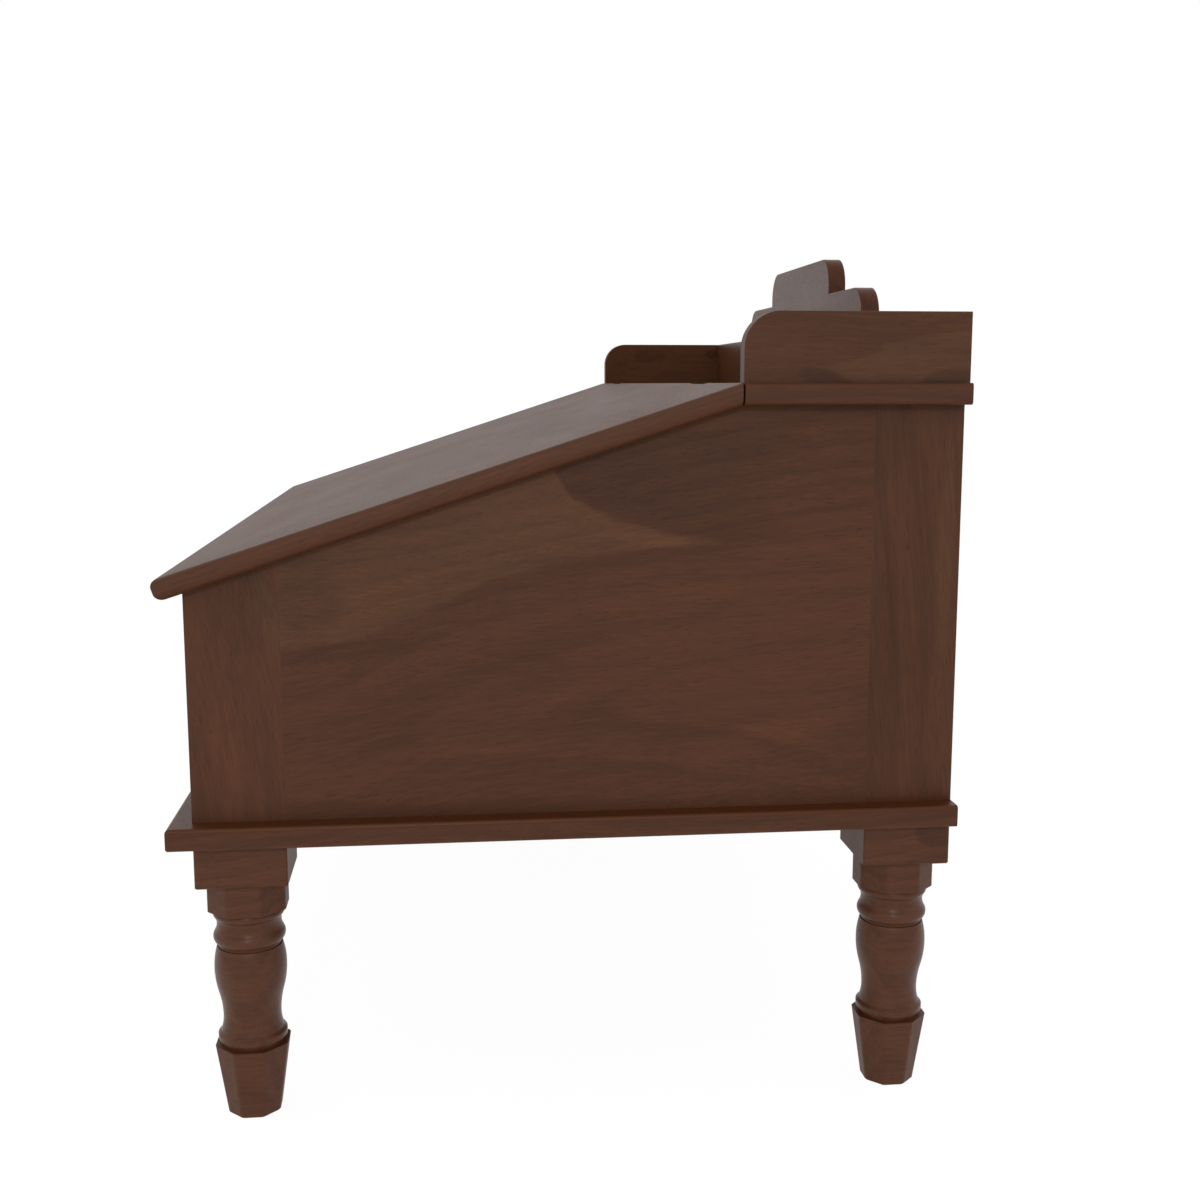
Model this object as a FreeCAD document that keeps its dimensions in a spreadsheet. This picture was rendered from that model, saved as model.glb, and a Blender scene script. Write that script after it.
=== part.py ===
import FreeCAD, Part
import math
import os
import re
import Sketcher

# Slant-top lap desk on four turned legs, as a parametric document with one object for each piece.
# Millimetres and degrees. The origin is on the floor under the middle of the desk, +X runs along
# the width to the sitter's right, +Y towards the back and +Z up. The lid is drawn closed.

KNUCKLES = 5
LEAF_SCREWS = 3

SIZES = {
    # Box
    "carcass_width": 690,
    "carcass_depth": 430.7,
    "carcass_height": 227.6,
    "carcass_arris": 0.8,
    "wall": 12,
    "overhang": 12.5,
    "slope_angle": 18.1,
    # Base board
    "base_thickness": 12.6,
    "base_top_round": 2,
    "base_bottom_round": 2,
    # Sides, each a level-grained panel tongued into two stiles
    "stile_width": 51,
    "tongue_length": 6,
    "tongue_thickness": 4,
    "joint_slack": 0.1,
    # Glue blocks in the upright corners of the box
    "glue_block": 22,
    "glue_block_margin": 15,
    # Shelf behind the lid
    "shelf_depth": 127.1,
    "shelf_thickness": 12,
    "shelf_top_round": 2,
    "shelf_bottom_round": 2,
    # Gallery round the shelf
    "gallery_height": 38.7,
    "gallery_thickness": 12,
    "gallery_inset": 5.6,
    "gallery_setback": 0.3,
    "gallery_corner": 20,
    "gallery_arris": 0.8,
    "crest_thickness": 12.4,
    "crest_lower_rise": 25.2,
    "crest_lower_width": 355,
    "crest_upper_rise": 25.5,
    "crest_upper_width": 184,
    # Lid
    "lid_thickness": 12,
    "lid_front_overhang": 14,
    "lid_gap": 1.15,
    "lid_seat_gap": 0.2,
    "lid_top_round": 4,
    "lid_bottom_round": 5,
    # Battens under the lid
    "batten_width": 34,
    "batten_thickness": 12,
    "batten_side_margin": 157.5,
    "batten_rear_margin": 30,
    "batten_front_margin": 24,
    "batten_bevel": 3,
    # Butt hinges, drawn closed
    "hinge_length": 50,
    "hinge_side_margin": 137.5,
    "leaf_width": 10.4,
    "leaf_thickness": 1.2,
    "leaf_screw_drop": 6.5,
    "leaf_screw_pitch": 17,
    "knuckle_diameter": 2.8,
    "knuckle_gap": 0.2,
    "knuckle_clearance": 0.3,
    "pin_diameter": 1.3,
    "pin_drop": 0.75,
    "pin_gap": 0.25,
    "pin_clearance": 0.05,
    "pin_bevel": 0.3,
    # Hinge screws
    "hinge_screw_head": 4.2,
    "hinge_screw_shank": 2.2,
    "hinge_screw_length": 12,
    "hinge_screw_slot": 0.7,
    # Wood screws
    "wood_screw_head": 7.6,
    "wood_screw_shank": 3.8,
    "wood_screw_slot": 1.1,
    "leg_screw_length": 34,
    "leg_screw_inward": 16,
    "leg_screw_sideways": 4,
    "base_screw_length": 36,
    "base_screw_margin": 120,
    "batten_screw_length": 20,
    "batten_screw_margin": 30,
    # Pegs between the walls, the shelf and the gallery
    "dowel_diameter": 6,
    "dowel_length": 20,
    "dowel_in_shelf": 7,
    "dowel_bevel": 0.8,
    "wall_dowel_margin": 20,
    "back_dowel_margin": 130,
    "gallery_dowel_margin": 36,
    "crest_dowel_margin": 60,
    # Legs: square block and eight-sided drum
    "leg_height": 168,
    "leg_stock": 51,
    "block_height": 25.9,
    "block_bevel": 0.8,
    "drum_flats": 44,
    "drum_height": 18.8,
    "drum_arris": 4,
    "tenon_diameter": 22,
    "tenon_short": 0.5,
    # Legs: turned bead, neck, ring and vase
    "bead_height": 5,
    "bead_diameter": 40.6,
    "bead_core_diameter": 38,
    "neck_height": 8.6,
    "neck_drop": 3.8,
    "neck_diameter": 36.4,
    "ring_height": 6.7,
    "ring_drop": 2.7,
    "ring_diameter": 40.8,
    "ring_edge_diameter": 39.2,
    "ring_under_diameter": 37,
    "quirk_height": 2,
    "quirk_diameter": 35.8,
    "vase_top_diameter": 37.2,
    "shoulder_drop": 13,
    "shoulder_diameter": 41,
    "waist_diameter": 32.8,
    "flare_height": 8.5,
    "flare_diameter": 35.8,
    "lip_slope_height": 1.8,
    "lip_height": 3,
    "lip_diameter": 39.2,
    "collar_height": 3,
    "collar_diameter": 36.4,
    # Legs: eight-sided foot
    "foot_height": 42.3,
    "foot_top_flats": 41.2,
    "foot_bottom_flats": 29.4,
    "foot_arris": 4,
    "foot_bevel": 0.8,
}

# Places and heights that follow from the sizes above
DERIVED = {
    "base_top": "leg_height + base_thickness",
    "shelf_under": "base_top + carcass_height",
    "shelf_top": "shelf_under + shelf_thickness",
    "half_width": "carcass_width / 2",
    "half_span": "half_width + overhang",
    "inner_half": "half_width - wall",
    "carcass_front": "(lid_front_overhang - carcass_depth) / 2",
    "carcass_back": "(lid_front_overhang + carcass_depth) / 2",
    "shelf_front": "carcass_back - shelf_depth",
    "shelf_gap": "lid_gap - pin_gap",
    "pin_y": "shelf_front - shelf_gap",
    "pin_z": "shelf_top - pin_drop",
    "seat_drop": "(lid_thickness + lid_seat_gap) / cos(slope_angle)",
    "seat_break": "pin_y + (seat_drop - shelf_thickness) / tan(slope_angle)",
    "front_seat": "shelf_top - (pin_y - carcass_front) * tan(slope_angle) - seat_drop",
    "corner_cut": "lid_top_round * (cos(slope_angle) + sin(slope_angle) - 1)",
    "lid_length": "(pin_y - carcass_front + lid_front_overhang + corner_cut) / cos(slope_angle)",
    "batten_end": "(pin_y - carcass_front - wall - batten_front_margin) / cos(slope_angle)",
    "batten_x": "half_span - batten_side_margin",
    "hinge_x": "half_span - hinge_side_margin",
    "batten_under": "lid_thickness + batten_thickness",
    "gallery_middle": "half_span - gallery_inset - gallery_thickness / 2",
    "gallery_front": "shelf_front + gallery_setback",
    "gallery_top": "shelf_top + gallery_height",
    "crest_half": "gallery_middle - gallery_thickness / 2",
    "knuckle_length": f"hinge_length / {KNUCKLES}",
    "knuckle_room": "knuckle_diameter / 2 + knuckle_clearance",
    "side_middle": "half_width - wall / 2",
    "side_screw_y": "carcass_depth / 2 - base_screw_margin",
    "end_screw_x": "inner_half - base_screw_margin",
    "back_dowel_x": "inner_half - back_dowel_margin",
    "crest_dowel_x": "crest_half - crest_dowel_margin",
    "leg_x": "half_width - leg_stock / 2",
    "leg_front": "carcass_front + leg_stock / 2",
    "leg_back": "carcass_back - leg_stock / 2",
    "drum_end": "block_height + drum_height",
    "bead_middle": "drum_end + bead_height / 2",
    "bead_end": "drum_end + bead_height",
    "neck_middle": "bead_end + neck_drop",
    "ring_start": "bead_end + neck_height",
    "ring_middle": "ring_start + ring_drop",
    "ring_end": "ring_start + ring_height",
    "vase_start": "ring_end + quirk_height",
    "shoulder_level": "vase_start + shoulder_drop",
    "foot_start": "leg_height - foot_height",
    "lip_end": "foot_start - collar_height",
    "lip_start": "lip_end - lip_height",
    "flare_end": "lip_start - lip_slope_height",
    "waist_level": "flare_end - flare_height",
    "octagon_share": "tan(22.5)",
}

SIDES = {"right": 1, "left": -1}
ENDS = {"front": -1, "back": 1}
NEAR = 1e-4
WORD = re.compile(r"[A-Za-z_]\w*")
X_AXIS = FreeCAD.Vector(1, 0, 0)

DOC = FreeCAD.newDocument("lap_desk")
SHEET = DOC.addObject("Spreadsheet::Sheet", "Sizes")
PIECES = []


def fill_sheet():
    """Writes every size to the sheet under its own name, and what follows from the sizes below them."""
    rows = [(name, str(value)) for name, value in SIZES.items()]
    rows += [(name, f"={formula}") for name, formula in DERIVED.items()]
    for row, (name, content) in enumerate(rows, start=1):
        SHEET.set(f"A{row}", name)
        SHEET.set(f"B{row}", content)
        SHEET.setAlias(f"B{row}", name)
    DOC.recompute()


def bound(text):
    """The expression with each size named as a cell of the sheet."""
    known = SIZES.keys() | DERIVED.keys()
    return WORD.sub(lambda word: f"Sizes.{word[0]}" if word[0] in known else word[0], text)


def number(text):
    """The present value of an expression."""
    return float(SHEET.evalExpression(text))


def signed(sign, text):
    """The expression, or its negative."""
    return text if sign > 0 else f"-({text})"


def new_body(label, x="0", y="0", z="0", piece=True):
    """An empty body at a place in the desk. A piece is written out, a pattern piece for copies isn't."""
    body = DOC.addObject("PartDesign::Body", label)
    body.Label = label
    for axis, text in zip("xyz", (x, y, z)):
        body.setExpression(f"Placement.Base.{axis}", bound(text))
    if piece:
        PIECES.append(body)
    return body


def draw(body, name, plane, level="0"):
    """An empty sketch square to X, Y or Z in the body's own frame, at a level along that axis."""
    sketch = body.newObject("Sketcher::SketchObject", name)
    role = {"X": "YZ_Plane", "Y": "XZ_Plane", "Z": "XY_Plane"}[plane]
    support = next(item for item in body.Origin.OriginFeatures if item.Role == role)
    sketch.AttachmentSupport = [(support, "")]
    sketch.MapMode = "FlatFace"
    facing = -1 if plane == "Y" else 1
    sketch.setExpression("AttachmentOffset.Base.z", bound(signed(facing, level)))
    return sketch


def draw_on_lid(body, name, depth):
    """An empty sketch parallel to the lid's top, at a depth below it."""
    sketch = draw(body, name, "Z")
    angle = number("slope_angle")
    sketch.AttachmentOffset = FreeCAD.Placement(FreeCAD.Vector(), FreeCAD.Rotation(X_AXIS, angle))
    sketch.setExpression("AttachmentOffset.Rotation.Angle", bound("slope_angle"))
    sketch.setExpression("AttachmentOffset.Base.y", bound(f"({depth}) * sin(slope_angle)"))
    sketch.setExpression("AttachmentOffset.Base.z", bound(f"-({depth}) * cos(slope_angle)"))
    return sketch


def fix(sketch, kind, geometry, point, text):
    """Holds a point of the sketch at a distance from its origin."""
    index = sketch.addConstraint(Sketcher.Constraint(kind, -1, 1, geometry, point, number(text)))
    sketch.setExpression(f"Constraints[{index}]", bound(text))


def add_arc(sketch, start, end, level):
    """Adds the shorter arc between two points about a centre at a level. Returns its index and its ends."""
    reach = (end[1] - level) ** 2 - (start[1] - level) ** 2
    across = (end[0] ** 2 - start[0] ** 2 + reach) / (2 * (end[0] - start[0]))
    centre = FreeCAD.Vector(across, level, 0)
    first = math.atan2(start[1] - level, start[0] - across)
    last = math.atan2(end[1] - level, end[0] - across)
    circle = Part.Circle(centre, FreeCAD.Vector(0, 0, 1), math.dist(start, (across, level)))
    if (last - first) % math.tau < math.pi:
        return sketch.addGeometry(Part.ArcOfCircle(circle, first, last)), (1, 2)
    return sketch.addGeometry(Part.ArcOfCircle(circle, last, first)), (2, 1)


def outline(sketch, points):
    """Draws a closed outline. A point is (across, up), with the level of a centre if an arc leads to it."""
    places = [(number(point[0]), number(point[1])) for point in points]
    runs = []
    for index, point in enumerate(points):
        start, end = places[index - 1], places[index]
        if len(point) == 2:
            line = Part.LineSegment(FreeCAD.Vector(*start, 0), FreeCAD.Vector(*end, 0))
            runs.append((sketch.addGeometry(line), (1, 2)))
        else:
            runs.append(add_arc(sketch, start, end, number(point[2])))
    for index, point in enumerate(points):
        geometry, (_, last) = runs[index]
        following, (first, _) = runs[(index + 1) % len(runs)]
        sketch.addConstraint(Sketcher.Constraint("Coincident", geometry, last, following, first))
        fix(sketch, "DistanceX", geometry, last, point[0])
        fix(sketch, "DistanceY", geometry, last, point[1])
        if len(point) > 2:
            fix(sketch, "DistanceY", geometry, 3, point[2])


def rectangle(low_across, low_up, high_across, high_up):
    """The four corners of a rectangle."""
    return [(low_across, low_up), (high_across, low_up), (high_across, high_up), (low_across, high_up)]


def octagon(flats):
    """The eight corners of a regular octagon with flats square to both axes."""
    near, far = f"{flats} / 2 * octagon_share", f"{flats} / 2"
    corners = [(far, near), (near, far)]
    corners += [(f"-{across}", up) for across, up in reversed(corners)]
    return corners + [(f"-({across})", f"-{up}") for across, up in corners]


def circles(sketch, centres, diameter):
    """Draws equal circles about the centres."""
    for across, up in centres:
        centre = FreeCAD.Vector(number(across), number(up), 0)
        ring = Part.Circle(centre, FreeCAD.Vector(0, 0, 1), number(diameter) / 2)
        geometry = sketch.addGeometry(ring)
        fix(sketch, "DistanceX", geometry, 3, across)
        fix(sketch, "DistanceY", geometry, 3, up)
        index = sketch.addConstraint(Sketcher.Constraint("Diameter", geometry, number(diameter)))
        sketch.setExpression(f"Constraints[{index}]", bound(diameter))


def pad(body, sketch, length, symmetric=False, reverse=False):
    """Raises a sketch into a solid."""
    feature = body.newObject("PartDesign::Pad", f"{sketch.Name}_pad")
    feature.Profile = sketch
    feature.SideType = "Symmetric" if symmetric else "One side"
    feature.Reversed = reverse
    feature.setExpression("Length", bound(length))
    DOC.recompute()
    return feature


def check_cut(feature, before):
    """Stops the build where a cut has missed the solid."""
    DOC.recompute()
    if feature.Shape.isNull() or feature.Shape.Volume > before - NEAR:
        raise RuntimeError(f"{feature.Name} cuts nothing")
    return feature


def pocket(body, sketch, length, symmetric=False, reverse=False):
    """Cuts a sketch into the solid, against the sketch's own direction unless it is reversed."""
    before = body.Tip.Shape.Volume
    feature = body.newObject("PartDesign::Pocket", f"{sketch.Name}_cut")
    feature.Profile = sketch
    feature.SideType = "Symmetric" if symmetric else "One side"
    feature.Reversed = reverse
    feature.setExpression("Length", bound(length))
    return check_cut(feature, before)


def countersink(body, sketch, shank, head, reverse=False):
    """Drills the sketch's circles right through and opens their mouths for flush screw heads."""
    before = body.Tip.Shape.Volume
    DOC.recompute()
    feature = body.newObject("PartDesign::Hole", f"{sketch.Name}_hole")
    feature.Profile = sketch
    DOC.recompute()
    feature.ThreadType = "None"
    feature.DepthType = "ThroughAll"
    feature.HoleCutType = "Countersink"
    feature.HoleCutCustomValues = True
    feature.HoleCutCountersinkAngle = 90
    feature.Reversed = reverse
    feature.setExpression("Diameter", bound(f"{shank} + 2 * joint_slack"))
    feature.setExpression("HoleCutDiameter", bound(f"{head} + 2 * joint_slack"))
    return check_cut(feature, before)


def mirror(body, features):
    """Repeats features of the body on the other side of its middle plane across X."""
    feature = body.newObject("PartDesign::Mirrored", f"{features[0].Name}_mirror")
    feature.Originals = features
    middle = next(item for item in body.Origin.OriginFeatures if item.Role == "YZ_Plane")
    feature.MirrorPlane = (middle, [""])
    body.Tip = feature
    DOC.recompute()
    return feature


def shape_edges(body, kind, size, wanted):
    """Rounds or bevels the edges of the body whose bounding boxes are wanted."""
    base = body.Tip
    names = [f"Edge{n}" for n, edge in enumerate(base.Shape.Edges, start=1) if wanted(edge.BoundBox)]
    feature = body.newObject(f"PartDesign::{kind}", f"{base.Name}_{kind.lower()}")
    feature.Base = (base, names)
    feature.setExpression("Radius" if kind == "Fillet" else "Size", bound(size))
    DOC.recompute()
    return feature


def near(value, text):
    """Whether a measured value is that of an expression."""
    return abs(value - number(text)) < NEAR


def flat_at(low, high, text):
    """Whether an extent lies wholly at one place."""
    return near(low, text) and near(high, text)


def upright_at(box, x, y):
    """Whether an edge stands upright at a place in plan."""
    return flat_at(box.XMin, box.XMax, x) and flat_at(box.YMin, box.YMax, y)


def upright_between(box, low, high):
    """Whether an edge runs from one level up to another."""
    return near(box.ZMin, low) and near(box.ZMax, high)


def on_lid(along, depth):
    """A point of the lid's section, along its top from the hinge pin and at a depth below it."""
    across = f"({depth}) * sin(slope_angle) - ({along}) * cos(slope_angle)"
    up = f"-({along}) * sin(slope_angle) - ({depth}) * cos(slope_angle)"
    return across, up


def seat(y):
    """The height of the box's sloping rim at a place along Y."""
    return f"front_seat + (({y}) - carcass_front) * tan(slope_angle)"


def leg_places():
    """Name, side, end and centre of each leg."""
    return [
        (f"{end}_{side}", across, along, signed(across, "leg_x"), f"leg_{end}")
        for side, across in SIDES.items()
        for end, along in ENDS.items()
    ]


def leg_screw_places(across, along):
    """Two places for screws about a leg's centre, inward of its tenon."""
    inward, sideways = "leg_screw_inward", "leg_screw_sideways"
    pairs = ((inward, sideways), (sideways, inward))
    return [(signed(-across, x), signed(-along, y)) for x, y in pairs]


def side_screw_ys():
    """Places along Y of the screws that rise into a side."""
    return [f"lid_front_overhang / 2 + {signed(end, 'side_screw_y')}" for end in ENDS.values()]


def end_screw_xs():
    """Places along X of the screws that rise into the front or back board."""
    return ["-end_screw_x", "0", "end_screw_x"]


def base_screw_places():
    """Places of the screws that rise through the base board into the four walls."""
    places = [(signed(side, "side_middle"), y) for side in SIDES.values() for y in side_screw_ys()]
    for y in ("carcass_front + wall / 2", "carcass_back - wall / 2"):
        places += [(x, y) for x in end_screw_xs()]
    return places


def make_base_board():
    """The moulded board under the box, flush with the back and proud of the other three sides."""
    body = new_body("base_board", z="leg_height")
    plan = draw(body, "base_plan", "Z")
    outline(plan, rectangle("-half_span", "carcass_front - overhang", "half_span", "carcass_back"))
    pad(body, plan, "base_thickness")

    def proud(box, level):
        return flat_at(box.ZMin, box.ZMax, level) and not flat_at(box.YMin, box.YMax, "carcass_back")

    shape_edges(body, "Fillet", "base_top_round", lambda box: proud(box, "base_thickness"))
    shape_edges(body, "Fillet", "base_bottom_round", lambda box: proud(box, "0"))
    sockets = draw(body, "tenon_sockets", "Z")
    legs = leg_places()
    circles(sockets, [(x, y) for *_, x, y in legs], "tenon_diameter + 2 * joint_slack")
    pocket(body, sockets, "base_thickness", reverse=True)
    leg_holes = draw(body, "leg_screw_holes", "Z", "base_thickness")
    places = [
        (f"{x} + {dx}", f"{y} + {dy}")
        for _, across, along, x, y in legs
        for dx, dy in leg_screw_places(across, along)
    ]
    circles(leg_holes, places, "wood_screw_shank")
    countersink(body, leg_holes, "wood_screw_shank", "wood_screw_head")
    wall_holes = draw(body, "wall_screw_holes", "Z")
    circles(wall_holes, base_screw_places(), "wood_screw_shank")
    countersink(body, wall_holes, "wood_screw_shank", "wood_screw_head", reverse=True)


def drill_wall_foot(body, centres):
    """Pilot holes in a wall's lower edge for the screws that rise through the base board."""
    pilots = draw(body, "wall_pilots", "Z")
    circles(pilots, centres, "wood_screw_shank + 2 * joint_slack")
    pocket(body, pilots, "base_screw_length - base_thickness + joint_slack", reverse=True)


def drill_wall_top(body, centres):
    """Holes in a wall's upper edge for the pegs that hold the shelf."""
    holes = draw(body, "wall_peg_holes", "Z", "carcass_height")
    circles(holes, centres, "dowel_diameter + 2 * joint_slack")
    pocket(body, holes, "dowel_length - dowel_in_shelf + joint_slack")


def wall_dowel_ys():
    """Places along Y of the pegs in a side's level top edge."""
    return ["seat_break + wall_dowel_margin", "carcass_back - stile_width - wall_dowel_margin"]


def make_side(side, sign):
    """One side of the box: a panel with a tongue along each end, and two stiles grooved to take it."""
    place = {"x": signed(sign, "side_middle"), "z": "base_top"}
    front_joint, rear_joint = "carcass_front + stile_width", "carcass_back - stile_width"

    def side_outline(front, rear):
        return [
            (front, "0"),
            (rear, "0"),
            (rear, "carcass_height"),
            ("seat_break", "carcass_height"),
            (front, f"{seat(front)} - base_top"),
        ]

    panel = new_body(f"{side}_side_panel", **place)
    face = draw(panel, f"{side}_panel_face", "X")
    outline(face, side_outline(front_joint, rear_joint))
    pad(panel, face, "wall", symmetric=True)
    tongues = draw(panel, f"{side}_panel_tongues", "X")
    outline(tongues, side_outline(f"{front_joint} - tongue_length", f"{rear_joint} + tongue_length"))
    pad(panel, tongues, "tongue_thickness", symmetric=True)
    drill_wall_foot(panel, [("0", y) for y in side_screw_ys()])
    drill_wall_top(panel, [("0", y) for y in wall_dowel_ys()])

    stiles = {
        "front": (front_joint, "carcass_front", -1),
        "rear": (rear_joint, "carcass_back", 1),
    }
    for end, (joint, outer, outward) in stiles.items():
        stile = new_body(f"{side}_{end}_stile", **place)
        shape = draw(stile, f"{side}_{end}_stile_face", "X")
        low, high = (outer, joint) if outward < 0 else (joint, outer)
        tops = {
            "front": [f"{seat(high)} - base_top", f"{seat(low)} - base_top"],
            "rear": ["carcass_height", "carcass_height"],
        }[end]
        outline(shape, [(low, "0"), (high, "0"), (high, tops[0]), (low, tops[1])])
        pad(stile, shape, "wall", symmetric=True)
        corner = (signed(sign, "wall / 2"), outer)
        shape_edges(stile, "Fillet", "carcass_arris", lambda box, at=corner: upright_at(box, *at))
        groove = draw(stile, f"{side}_{end}_groove", "Z")
        floor = f"{joint} + {signed(outward, 'tongue_length + joint_slack')}"
        half_groove = "tongue_thickness / 2 + joint_slack"
        outline(groove, rectangle(f"-({half_groove})", joint, half_groove, floor))
        pocket(stile, groove, "carcass_height", reverse=True)


def make_end_walls():
    """The front board, with its top bevelled to the slope, and the back board, both between the sides."""
    front = new_body("front_board", z="base_top")
    section = draw(front, "front_section", "X")
    inner = "carcass_front + wall"
    slope = [(inner, f"{seat(inner)} - base_top"), ("carcass_front", "front_seat - base_top")]
    outline(section, [("carcass_front", "0"), (inner, "0"), *slope])
    pad(front, section, "2 * inner_half", symmetric=True)
    drill_wall_foot(front, [(x, "carcass_front + wall / 2") for x in end_screw_xs()])

    back = new_body("back_board", z="base_top")
    section = draw(back, "back_section", "X")
    outline(section, rectangle("carcass_back - wall", "0", "carcass_back", "carcass_height"))
    pad(back, section, "2 * inner_half", symmetric=True)
    drill_wall_foot(back, [(x, "carcass_back - wall / 2") for x in end_screw_xs()])
    drill_wall_top(back, [(x, "carcass_back - wall / 2") for x in ("-back_dowel_x", "back_dowel_x")])


def make_corner_blocks():
    """Three-cornered glue blocks that tie the front and back boards to the sides."""
    inner = {"front": "carcass_front + wall", "back": "carcass_back - wall"}
    top = {"front": "front_seat - base_top", "back": "carcass_height"}
    for side, across in SIDES.items():
        for end, along in ENDS.items():
            label = f"{end}_{side}_corner_block"
            block = new_body(label, signed(across, "inner_half"), inner[end], "base_top")
            plan = draw(block, f"{label}_plan", "Z")
            legs = [("0", "0"), (signed(-across, "glue_block"), "0"), ("0", signed(-along, "glue_block"))]
            outline(plan, legs)
            pad(block, plan, f"{top[end]} - glue_block_margin")


def gallery_dowel_ys():
    """Places along Y of the pegs under a gallery end."""
    return ["gallery_front + gallery_dowel_margin", "carcass_back - gallery_dowel_margin"]


def crest_dowel_xs():
    """Places along X of the pegs under the crest."""
    return ["-crest_dowel_x", "0", "crest_dowel_x"]


def gallery_peg_places():
    """Places of the pegs that hold the gallery to the shelf."""
    places = [
        (signed(side, "gallery_middle"), y)
        for side in SIDES.values()
        for y in gallery_dowel_ys()
    ]
    crest_y = "carcass_back - crest_thickness / 2"
    return places + [(x, crest_y) for x in crest_dowel_xs()]


def shelf_peg_places():
    """Places of the pegs that hold the shelf to the walls."""
    places = [(signed(side, "side_middle"), y) for side in SIDES.values() for y in wall_dowel_ys()]
    back_y = "carcass_back - wall / 2"
    return places + [(x, back_y) for x in ("-back_dowel_x", "back_dowel_x")]


def let_in_hinges(body, face, inward):
    """Cuts the bed of a leaf, the hollow round the knuckles and the screw holes, for both hinges.

    The body's own origin is above the hinge pins, level with the top. The face is its edge, and
    inward runs from it into the wood. A bed that already clears the knuckles gets no hollow.
    """
    middle, half = "hinge_x", "hinge_length / 2 + joint_slack"
    bed = draw(body, "leaf_bed", "Y", face)
    low, deep = "-(pin_drop + leaf_width + joint_slack)", "leaf_thickness + joint_slack"
    outline(bed, rectangle(f"{middle} - ({half})", low, f"{middle} + {half}", "knuckle_room"))
    cuts = [pocket(body, bed, deep, reverse=inward < 0)]
    if number("knuckle_room") > number(f"abs({face}) + {deep}"):
        hollow = draw(body, "knuckle_hollow", "X", middle)
        circles(hollow, [("0", "-pin_drop")], "2 * knuckle_room")
        cuts.append(pocket(body, hollow, f"2 * ({half})", symmetric=True))
    pilots = draw(body, "leaf_pilots", "Y", face)
    places = [(f"{middle} + {x}", "-pin_drop - leaf_screw_drop") for x in leaf_screw_xs()]
    circles(pilots, places, "hinge_screw_shank + 2 * joint_slack")
    cuts.append(pocket(body, pilots, "hinge_screw_length + joint_slack", reverse=inward < 0))
    mirror(body, cuts)


def leaf_screw_xs():
    """Places of the screws along a hinge leaf."""
    return [f"leaf_screw_pitch * {n - (LEAF_SCREWS - 1) / 2}" for n in range(LEAF_SCREWS)]


def make_top_shelf():
    """The fixed board behind the lid, with its origin above the hinge pins."""
    body = new_body("top_shelf", y="pin_y", z="shelf_top")
    plan = draw(body, "shelf_plan", "Z", "-shelf_thickness")
    outline(plan, rectangle("-half_span", "shelf_gap", "half_span", "carcass_back - pin_y"))
    pad(body, plan, "shelf_thickness")

    def end_edge(box, level):
        side = near(abs(box.XMin), "half_span") and near(box.XMax, str(box.XMin))
        return side and flat_at(box.ZMin, box.ZMax, level)

    shape_edges(body, "Fillet", "shelf_top_round", lambda box: end_edge(box, "0"))
    shape_edges(body, "Fillet", "shelf_bottom_round", lambda box: end_edge(box, "-shelf_thickness"))
    above = draw(body, "gallery_peg_holes", "Z")
    circles(above, [(x, f"{y} - pin_y") for x, y in gallery_peg_places()], "dowel_diameter + 2 * joint_slack")
    pocket(body, above, "dowel_in_shelf + joint_slack")
    below = draw(body, "shelf_peg_holes", "Z", "-shelf_thickness")
    circles(below, [(x, f"{y} - pin_y") for x, y in shelf_peg_places()], "dowel_diameter + 2 * joint_slack")
    pocket(body, below, "dowel_in_shelf + joint_slack", reverse=True)
    let_in_hinges(body, "shelf_gap", 1)


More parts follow.
